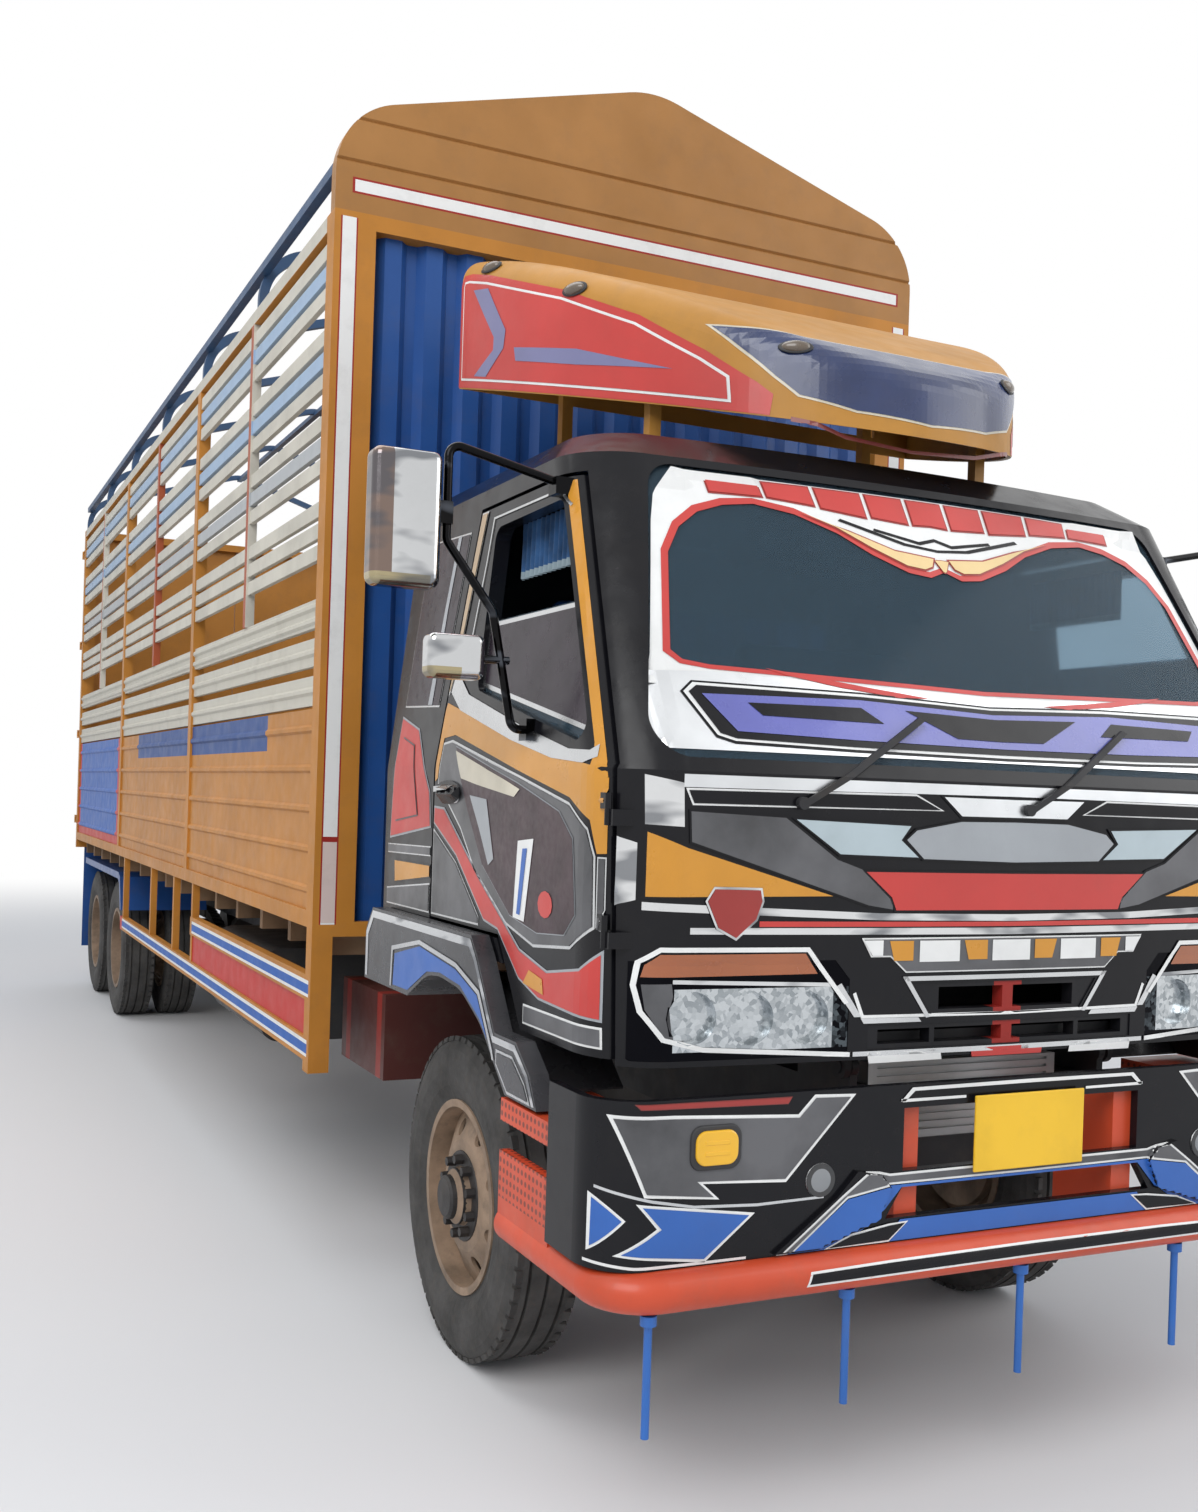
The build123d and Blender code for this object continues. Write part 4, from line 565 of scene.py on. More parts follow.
@dataclass(frozen=True)
class MeshPiece:
    """A new piece: its name, its body, its finish and the record's slot."""

    name: str
    body: str
    finish: Finish
    slot: str

    def make(self, bm: bmesh.types.BMesh, smooth: bool = False, recalc: bool = False) -> bpy.types.Object:
        """Turn a bmesh into the piece's object.

        Args:
            bm: the piece's mesh, freed here.
            smooth: shade its faces smooth.
            recalc: point its faces outwards first.

        Returns:
            The new object, riding on its body.
        """
        if recalc:
            bmesh.ops.remove_doubles(bm, verts=bm.verts, dist=0.00005)
            bmesh.ops.recalc_face_normals(bm, faces=bm.faces)
        for face in bm.faces:
            face.smooth = smooth
        obj = mesh_object(self.name, bm, self.finish.material())
        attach(obj, self.body)
        LOG.info("%s rides on %s", self.name, self.body)
        return obj


class Face(Enum):
    """The side of the truck that a flat outline is laid on."""

    FRONT = "front"
    RIGHT = "right"
    LEFT = "left"
    TOP = "top"


FLANKS = ((Face.RIGHT, "right"), (Face.LEFT, "left"))


class Span(Enum):
    """How an outline on the front is repeated across the truck's middle."""

    ONE = "one"
    PAIR = "pair"
    WHOLE = "whole"


ONE, PAIR, WHOLE = Span


@dataclass(frozen=True)
class Film:
    """A film or painted shape: its outline, finish, layer, border and span."""

    name: str
    outline: Outline
    finish: Finish
    layer: int = 1
    border: float = 0.0
    edge: Finish = Paint.white
    span: Span = PAIR


def inset(outline: Outline, amount: float) -> Outline:
    """Return an outline pulled in on all sides but the truck's middle line.

    Args:
        outline: the corners in order.
        amount: how far in, in the outline's units.

    Returns:
        The smaller outline.
    """
    half_unit, flat, sharp, longest = 0.5, 0.3, 0.2, 2.2
    area = sum(a[0] * b[1] - b[0] * a[1] for a, b in zip(outline, outline[1:] + outline[:1]))
    turn = 1.0 if area > 0 else -1.0
    result = []
    count = len(outline)
    for i in range(count):
        before, here, after = (Vector(outline[j % count]) for j in (i - 1, i, i + 1))
        first = (here - before).normalized()
        second = (after - here).normalized()
        normal_a = Vector((-first.y, first.x)) * turn
        normal_b = Vector((-second.y, second.x)) * turn
        if abs(here.x) < half_unit:
            normal = normal_a if abs(before.x) > half_unit else normal_b
            rise = amount / normal.y if abs(normal.y) > flat else 0.0
            result.append((here.x, here.y + rise))
            continue
        middle = normal_a + normal_b
        if middle.length < sharp:
            middle = normal_a
        middle.normalize()
        stretch = min(longest, 1.0 / max(flat, middle.dot(normal_a)))
        moved = here + middle * amount * stretch
        result.append((moved.x, moved.y))
    return tuple(result)


@dataclass
class Panel:
    """A run of CAD surface that films are laid on, seen square from one side.

    Its step, fine cuts, holes and lift are in millimetres, and its reach, which is how
    far behind its nearest point the surface still counts, is in metres.
    """

    nodes: tuple[str, ...]
    face: Face
    body: str
    step: float = 40.0
    lift: float = 1.5
    reach: float = 0.35
    fine: tuple[float, ...] = ()
    holes: tuple[tuple[float, float, float, float], ...] = ()
    trees: list[BVHTree] = field(default_factory=list)

    def __post_init__(self) -> None:
        """Read the nodes' surfaces."""
        for name in self.nodes:
            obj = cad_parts[name]
            points = [obj.matrix_world @ v.co for v in obj.data.vertices]
            faces = [tuple(p.vertices) for p in obj.data.polygons]
            self.trees.append(BVHTree.FromPolygons(points, faces))

    def ray(self, a: float, b: float) -> tuple[Vector, Vector]:
        """Return where a ray starts outside the truck, and its direction.

        Args:
            a: the flat point's first place, in metres.
            b: its second.

        Returns:
            The start and the direction.
        """
        if self.face is Face.FRONT:
            return Vector((a, FRONT_EDGE - 0.5, b)), Vector((0, 1, 0))
        if self.face is Face.TOP:
            return Vector((a, b, CAD_HIGH[2] + 0.5)), Vector((0, 0, -1))
        side = -1.0 if self.face is Face.RIGHT else 1.0
        return Vector((side * 3.0, a, b)), Vector((-side, 0, 0))

    def land(self, a: float, b: float) -> tuple[Vector, Vector, float] | None:
        """Return where a flat point lands on the surface.

        Args:
            a: its first place, in metres.
            b: its second.

        Returns:
            The surface's point, normal and depth, or None where the ray misses.
        """
        start, way = self.ray(a, b)
        best = None
        for tree in self.trees:
            point, normal, _, depth = tree.ray_cast(start, way)
            if point is not None and (best is None or depth < best[2]):
                best = (point, -normal if normal.dot(way) > 0 else normal, depth)
        return best

    def corners(self, span: Span, outline: Outline) -> list[list[Vector]]:
        """Return the loops of flat corners that a film is cut to.

        Args:
            span: how the outline is repeated, on the front.
            outline: its corners, in millimetres.

        Returns:
            The loops, in metres.
        """
        if self.face is not Face.FRONT:
            return [[Vector((station(a), b * MM)) for a, b in outline]]
        flat = [Vector((a * MM, b * MM)) for a, b in outline]
        if span is ONE:
            return [flat]
        return [flat, [Vector((-v.x, v.y)) for v in reversed(flat)]]

    def cuts(self, axis: int, low: float, high: float) -> list[float]:
        """Return where a film is divided so that it can follow the surface.

        Args:
            axis: 0 across the outline, 1 up it.
            low: the film's start along the axis, in metres.
            high: its end.

        Returns:
            The places between low and high, in metres.
        """
        step = self.step * MM
        found = {round(i * step, 5) for i in range(math.ceil(low / step), math.floor(high / step) + 1)}
        if axis == 0:
            found |= {round(side * value * MM, 5) for value in self.fine for side in (-1, 1)}
        found |= {round(value * MM, 5) for hole in self.holes for value in hole[2 * axis:2 * axis + 2]}
        return sorted(value for value in found if low < value < high)

    def in_hole(self, flat: Vector) -> bool:
        """Return whether a flat point lies in one of the panel's holes."""
        return any(a * MM < flat.x < b * MM and c * MM < flat.y < d * MM for a, b, c, d in self.holes)

    def divided(self, loops: list[list[Vector]]) -> bmesh.types.BMesh:
        """Return flat loops filled and cut up small.

        Args:
            loops: the loops, in metres.

        Returns:
            The flat mesh, without what lies in the panel's holes.
        """
        bm = bmesh.new()
        for loop in loops:
            bm.faces.new([bm.verts.new((v.x, v.y, 0)) for v in loop])
        bm.normal_update()
        bmesh.ops.triangulate(bm, faces=bm.faces[:])
        for axis, across in enumerate((Vector((1, 0, 0)), Vector((0, 1, 0)))):
            for cut in self.cuts(axis, min(v.co[axis] for v in bm.verts), max(v.co[axis] for v in bm.verts)):
                geometry = bm.verts[:] + bm.edges[:] + bm.faces[:]
                bmesh.ops.bisect_plane(bm, geom=geometry, plane_co=across * cut, plane_no=across, dist=0.0002)
        gone = [f for f in bm.faces if self.in_hole(f.calc_center_median())]
        bmesh.ops.delete(bm, geom=gone, context="FACES")
        return bm

    def drape(self, bm: bmesh.types.BMesh, height: float) -> None:
        """Move a flat mesh onto the surface, and past its edges to the depth of what lies beside.

        Args:
            bm: the flat mesh.
            height: how far above the surface it lies, in metres.
        """
        hits = [(v, v.co.copy(), self.land(v.co.x, v.co.y)) for v in bm.verts]
        deepest = min((h[2] for _, _, h in hits if h), default=0.5) + self.reach
        good = [(flat, h) for _, flat, h in hits if h and h[2] < deepest]
        known = KDTree(max(1, len(good)))
        for i, (flat, _) in enumerate(good):
            known.insert(flat, i)
        known.balance()
        for vert, flat, hit in hits:
            if good and (hit is None or hit[2] >= deepest):
                start, way = self.ray(flat.x, flat.y)
                beside = good[known.find(flat)[1]][1]
                hit = (start + way * beside[2], beside[1], beside[2])
            if hit is not None:
                vert.co = hit[0] + hit[1] * height

    def lay(self, film: Film, outline: Outline, finish: Finish, layer: int, tag: str, slot: str) -> None:
        """Cut one film to its outline and lay it on the surface.

        Args:
            film: the film.
            outline: the outline to use, which may be pulled in.
            finish: its finish.
            layer: how many films lie under it, plus one.
            tag: added to the piece's name.
            slot: the record's slot.
        """
        bm = self.divided(self.corners(film.span, outline))
        self.drape(bm, self.lift * layer * MM)
        bm.normal_update()
        bmesh.ops.triangulate(bm, faces=bm.faces[:])
        bm.normal_update()
        _, way = self.ray(0.0, 0.0)
        for face in bm.faces:
            if face.normal.dot(way) > 0:
                face.normal_flip()
        MeshPiece(f"{film.name}{tag}", self.body, finish, slot).make(bm)

    def dress(self, films: tuple[Film, ...], slot: str = "cab_paint", suffix: str = "") -> None:
        """Lay films in order, each with its border under it where it has one.

        Args:
            films: the films.
            slot: the record's slot.
            suffix: added to the pieces' names.
        """
        for film in films:
            outline, layer = film.outline, film.layer
            if film.border:
                self.lay(film, outline, film.edge, layer, f"_edge{suffix}", slot)
                outline, layer = inset(outline, film.border), layer + 1
            self.lay(film, outline, film.finish, layer, suffix, slot)


def bevel(bm: bmesh.types.BMesh, edges: list[bmesh.types.BMEdge], radius: float, segments: int) -> None:
    """Round some edges.

    Args:
        bm: the mesh.
        edges: the edges.
        radius: the rounding, in metres.
        segments: its steps.
    """
    bmesh.ops.bevel(bm, geom=edges, offset=radius, offset_type="OFFSET", affect="EDGES", segments=segments,
                    profile=0.5, material=-1)


def block(bm: bmesh.types.BMesh, low: Vector, high: Vector) -> list[bmesh.types.BMEdge]:
    """Add a box.

    Args:
        bm: the mesh to add to.
        low: its lowest corner.
        high: its highest corner.

    Returns:
        Its edges.
    """
    verts = bmesh.ops.create_cube(bm, size=1.0)["verts"]
    bmesh.ops.scale(bm, vec=high - low, verts=verts)
    bmesh.ops.translate(bm, vec=(high + low) / 2, verts=verts)
    return list(dict.fromkeys(e for v in verts for e in v.link_edges))


def rounded_box(bm: bmesh.types.BMesh, low: Vector, high: Vector, radius: float, segments: int = 3) -> None:
    """Add a box with rounded edges.

    Args:
        bm: the mesh to add to.
        low: its lowest corner.
        high: its highest corner.
        radius: the rounding.
        segments: steps of the rounding.
    """
    bevel(bm, block(bm, low, high), radius, segments)


def rounded_lens(bm: bmesh.types.BMesh, low: Vector, high: Vector, corner: float) -> None:
    """Add a shallow box whose outline has round corners, facing the front.

    Args:
        bm: the mesh to add to.
        low: its lowest corner.
        high: its highest corner.
        corner: the outline's corner radius.
    """
    half_deep = 0.5 * (high.y - low.y)
    deep = [e for e in block(bm, low, high) if abs(e.verts[0].co.y - e.verts[1].co.y) > half_deep]
    bevel(bm, deep, corner, 6)
    centres = [(f, f.calc_center_median()) for f in bm.faces if f.normal.y < -0.9]
    front = [f for f, centre in centres if abs(centre.y - low.y) < 0.0005 and low.x < centre.x < high.x]
    bevel(bm, list(dict.fromkeys(e for f in front for e in f.edges)), 0.004, 2)


def spin_about_x(bm: bmesh.types.BMesh, profile: Outline, centre: Vector, steps: int) -> None:
    """Spin a profile about a line along X.

    Args:
        bm: the mesh to add to.
        profile: the open profile's points, along X and out, in millimetres.
        centre: a point on the line, in metres.
        steps: steps of the spin.
    """
    verts = [bm.verts.new((centre.x + u * MM, centre.y, centre.z + r * MM)) for u, r in profile]
    edges = [bm.edges.new(pair) for pair in zip(verts, verts[1:])]
    bmesh.ops.spin(bm, geom=verts + edges, cent=centre, axis=(1, 0, 0), angle=math.tau, steps=steps,
                   use_merge=True)


# The studio


@dataclass
class Studio:
    """Pale floor, soft lights and the camera at the photograph's place."""

    picture: tuple[int, int] = (1198, 1512)
    focal_px: float = 1467.26
    centre_px: tuple[float, float] = (598.97, 801.25)
    sensor: float = 36.0
    azimuth: float = 25.467
    elevation: float = -0.2585
    roll: float = 1.8727
    camera_place: tuple[float, float, float] = (-2.7358, 250.0 - 3231.5, 1.8141)
    floor_size: float = 120.0
    fade: Range = (4.8, 12.0)
    target: tuple[float, float, float] = (0, -1.5, 1.5)
    lamps: tuple[tuple[str, tuple[float, float, float], float, float], ...] = (
        ("key", (-9.0, -12.0, 10.0), 9.0, 1250.0),
        ("fill", (9.0, -10.0, 7.0), 9.0, 480.0),
        ("top", (-3.0, 2.0, 13.0), 12.0, 650.0),
    )

    def build(self) -> None:
        """Make the whole studio."""
        self.camera()
        self.floor()
        self.lights()
        self.world()
        bpy.context.scene.view_settings.view_transform = "Standard"

    def camera(self) -> None:
        """Make the camera and point it as the photograph's was."""
        data = bpy.data.cameras.new("camera")
        width, height = self.picture
        data.sensor_width = self.sensor
        data.lens = self.focal_px / height * self.sensor
        data.shift_x = -(self.centre_px[0] - width / 2) / height
        data.shift_y = (self.centre_px[1] - height / 2) / height
        data.clip_end = 200.0
        a, e, r = (math.radians(v) for v in (self.azimuth, self.elevation, self.roll))
        ahead = Vector((math.sin(a) * math.cos(e), math.cos(a) * math.cos(e), math.sin(e)))
        right = Vector((math.cos(a), -math.sin(a), 0))
        up = right.cross(ahead)
        across = right * math.cos(r) + up * math.sin(r)
        upward = up * math.cos(r) - right * math.sin(r)
        place = Matrix((across, upward, -ahead)).transposed().to_4x4()
        x, s, z = self.camera_place
        place.translation = Vector((x, station(s), z))
        camera = new_object("camera", data)
        camera.matrix_world = place
        bpy.context.scene.camera = camera

    def floor(self) -> None:
        """Lay a wide pale floor."""
        bm = bmesh.new()
        bmesh.ops.create_grid(bm, x_segments=1, y_segments=1, size=self.floor_size)
        mesh_object("floor", bm, self.floor_material())

    def floor_material(self) -> bpy.types.Material:
        """Return a pale floor that runs out into the white background far from the truck.

        Returns:
            The material.
        """
        material = bpy.data.materials.new("floor_pale")
        material.use_nodes = True
        graph = NodeGraph(material.node_tree)
        shader = graph.tree.nodes["Principled BSDF"]
        pale = {"Base Color": (0.78, 0.78, 0.78, 1.0), "Roughness": 0.9, "Specular IOR Level": 0.2}
        graph.fill(shader, pale)
        place = graph.add("TexCoord").outputs["Object"]
        squeezed = graph.add("VectorMath", {0: place, 1: (1.0, 0.6, 1.0)}, operation="MULTIPLY").outputs[0]
        away = graph.add("VectorMath", {0: squeezed}, operation="LENGTH").outputs["Value"]
        limits = {"Value": away, "From Min": self.fade[0], "From Max": self.fade[1]}
        faded = graph.add("MapRange", limits, interpolation_type="SMOOTHSTEP").outputs["Result"]
        seen = graph.pair("MULTIPLY", faded, graph.looked_at())
        glow = graph.add("Emission", {"Color": (1.0, 1.0, 1.0, 1.0)}).outputs[0]
        mix = graph.add("MixShader", {0: seen, 1: shader.outputs[0], 2: glow})
        graph.fill(graph.tree.nodes["Material Output"], {"Surface": mix.outputs[0]})
        return material

    def lights(self) -> None:
        """Hang two large soft lamps and a fill."""
        for name, place, size, power in self.lamps:
            data = bpy.data.lights.new(name, "AREA")
            data.size = size
            data.energy = power
            lamp = new_object(name, data)
            lamp.location = place
            lamp.rotation_euler = (Vector(self.target) - Vector(place)).to_track_quat("-Z", "Y").to_euler()

    def world(self) -> None:
        """Fill the room with pale light and show white behind the truck."""
        world = bpy.data.worlds.new("room")
        bpy.context.scene.world = world
        world.use_nodes = True
        graph = NodeGraph(world.node_tree)
        graph.tree.nodes.clear()
        dim = graph.add("Background", {0: (0.86, 0.91, 1.0, 1.0), 1: 0.50}).outputs[0]
        bright = graph.add("Background", {0: (1.0, 1.0, 1.0, 1.0), 1: 1.0}).outputs[0]
        mix = graph.add("MixShader", {0: graph.looked_at(), 1: dim, 2: bright})
        graph.add("OutputWorld", {0: mix.outputs[0]})


# Sub-assemblies


def on_wheels(front: str, rear: str) -> tuple[str, ...]:
    """Return the wheels' nodes, from their names' first words at the front and at the rear."""
    axles = ((front, "front"), (rear, "axle2"), (rear, "axle3"))
    return tuple(f"{word}_{axle}_{side}" for word, axle in axles for _, side in SIDES)


@dataclass
class NodePaint:
    """The finishes that the CAD nodes carry."""

    corner: Range = (1234, 1300)
    corner_strip: Range = (1240, 1294)
    strip_stations: Range = (2440, 2452)
    lamp_glass: Range = (0.562, 1.010)
    lamp_height: Range = (1.186, 1.342)

    def build(self) -> None:
        """Dress every CAD node."""
        for finish, names in self.table():
            for name in names:
                finish.dress(name)

    def table(self) -> tuple[tuple[Finish, tuple[str, ...]], ...]:
        """Return each finish with the nodes that have it.

        Returns:
            Each finish with its nodes' names.
        """
        return (
            (Paint.rubber, on_wheels("tyre", "tyres")),
            (Paint.rim, on_wheels("rim", "rims")),
            (Paint.casting, ("front_axle_beam", "knuckle_right", "knuckle_left", "tie_rod", "leaf_springs",
                             "rear_axles", "propeller_shafts", "engine_block")),
            (Paint.satin, ("chassis_frame", "rear_bar", "wipers", "steering_wheel", "dashboard",
                           "cab_floor")),
            (Paint.dull_metal, ("radiator",)),
            (self.tanks(), ("side_tanks",)),
            (Paint.black, ("bumper", "cab_shell", "cab_front_panel", "door_right", "door_left")),
            (self.headlamps(), ("headlamps",)),
            (self.grille(), ("grille",)),
            (self.steps(), ("bumper_frame",)),
            (self.cargo_frame(), ("cargo_frame",)),
            (self.gable(), ("gable",)),
            (self.guards(), ("side_guards",)),
            (self.boards(), ("side_boards",)),
            (self.slats(), ("side_slats",)),
            (Paint.wall_blue, ("front_wall", "rear_mudguards")),
            (Paint.hoop_blue, ("roof_hoops",)),
            (Paint.rod_blue, ("hanging_rods",)),
            (Paint.lamp_body, ("bumper_lamps",)),
            (Paint.tail, ("tail_lamps",)),
            (Paint.glass, ("cab_glass", "door_glass_right", "door_glass_left")),
            (banded("visor_ochre", (0.480, 0.230, 0.045)), ("visor",)),
            (Paint.ochre, ("rear_door_right", "rear_door_left")),
            (Paint.flare, ("wheel_arch_flares",)),
            (Paint.seat_cloth, ("seats",)),
            (Paint.curtain, ("curtains",)),
            (Paint.planks, ("cargo_floor",)),
        )

    def tanks(self) -> Finish:
        """Satin black bottle, with a dark red strapped tool box, its red darkened further as painted shade,
        and a dull metal fuel tank.

        Returns:
            The finish.
        """
        right, z = (WIDE[0], 0.0), (0.2, 1.2)
        # tool box: a real dark red, darkened further as painted shade because it lies mostly in shadow; the
        # straps keep their own red
        patches = [Patch(zone(z, right, (2200, 2900)), (0.075, 0.016, 0.012))]
        patches += [Patch(zone(z, right, (s, s + 60)), (0.260, 0.020, 0.012)) for s in (2330, 2740)]
        patches.append(Patch(zone(z, (0.0, WIDE[1]), (2200, 3800)), (0.180, 0.185, 0.190)))
        return enamel("tank_paint", (0.030, 0.030, 0.032), rough=0.45, grime=0.35, patches=tuple(patches))

    def steps(self) -> Finish:
        """Orange tube and steps, with the steps' pressed treads, their holes dark with painted shade."""
        return enamel("step_paint", (0.580, 0.062, 0.016), coat=0.15, rough=0.4, grime=0.22,
                      pattern=Pattern.HOLES, region=zone((0.725, 1.2), s=(150, 800)))

    def grille(self) -> Finish:
        """Black grille with a dark red middle post."""
        post = Patch(zone((1.1, 1.5), (-0.048, 0.048)), (0.300, 0.024, 0.018))
        return enamel("grille_black", BLACK, rough=0.3, specular=0.25, grime=0.10, patches=(post,))

    def headlamps(self) -> Finish:
        """Black lamp housings with bright facetted reflectors in their round bowls, the facet cells darkened
        in turn as painted reflections.

        Returns:
            The finish.
        """
        near, far = self.lamp_glass
        bowls = ((-far, -near), (near, far))
        patches = tuple(Patch(zone(self.lamp_height, x), (0.600, 0.630, 0.650)) for x in bowls)
        return Finish("lamp_facets", Kind.METAL, BLACK, rough=0.14, mottle=0.03, grime=0.02, relief=0.10,
                      pattern=Pattern.FACETS, patches=patches, region=zone(self.lamp_height, (-far, far)))

    def cargo_frame(self) -> Finish:
        """Ochre posts with a white strip edged dark red down each front corner.

        Returns:
            The finish.
        """
        s = self.strip_stations
        patches = []
        for side, _ in SIDES:
            edge, strip = mirrored(side, *self.corner), mirrored(side, *self.corner_strip)
            for z, x, colour in (
                ((1.29, 3.96), edge, DARK_RED), ((1.29, 3.96), strip, WHITE),
                ((1.296, 1.602), strip, (0.640, 0.520, 0.480)), ((1.602, 1.622), edge, DARK_RED),
            ):
                patches.append(Patch(zone(z, x, s), colour))
        patches.append(Patch(zone((3.925, 4.0), s=(2560, 10600)), CREAM))
        return banded("frame_ochre", OCHRE, tuple(patches))

    def gable(self) -> Finish:
        """Ochre brown gable with a white stripe edged dark red.

        Returns:
            The finish.
        """
        s = (None, self.strip_stations[1])
        return banded("gable_brown", (0.350, 0.165, 0.048), (
            Patch(zone((4.052, 4.112), (-1.26, 1.26), s), DARK_RED),
            Patch(zone((4.060, 4.104), (-1.25, 1.25), s), WHITE),
        ))

    def guards(self) -> Finish:
        """Ochre rails with a blue and white stripe and a red panel between.

        Returns:
            The finish.
        """
        patches = []
        for z, s in ((1.000, (2480, 4940)), (0.775, (2480, 7650))):
            patches.append(Patch(zone((z + 0.012, z + 0.075), s=s), WHITE))
            patches.append(Patch(zone((z + 0.024, z + 0.060), s=s), SIGN_BLUE))
        patches.append(Patch(zone((0.862, 0.998), (-1.317, 1.317), (2500, 4950)), SIGN_RED))
        patches.append(Patch(zone((0.76, 0.87), s=(7600, 7700)), SIGN_RED))
        return banded("guard_ochre", OCHRE, tuple(patches))

    def boards(self) -> Finish:
        """Ochre ribbed boards below and cream ones above, with a blue field.

        Returns:
            The finish.
        """
        return banded("board_ochre", OCHRE, (
            Patch(zone((2.112, 2.6)), CREAM),
            Patch(zone((1.955, 2.110), s=(3350, 7150)), FIELD_BLUE),
            Patch(zone((1.30, 2.112), s=(7960, None)), SIGN_RED),
            Patch(zone((1.40, 2.112), s=(8150, 10500)), SIGN_BLUE),
        ))

    def slats(self) -> Finish:
        """Cream slats with a few painted pale blue and grey, and red uprights.

        Returns:
            The finish.
        """
        top, pitch, drop, width, half = 3.885, 0.328, 0.145, 0.066, 32
        patches = []
        for group, colour in enumerate((PALE_BLUE, PALE_BLUE, (0.42, 0.44, 0.45))):
            low = top - group * pitch - drop
            patches.append(Patch(zone((low, low + width)), colour))
        for middle in (3863, 6569, 9315):
            patches.append(Patch(zone((2.5, 3.95), s=(middle - half, middle + half)), (0.36, 0.08, 0.03)))
        return banded("slat_cream", CREAM, tuple(patches))


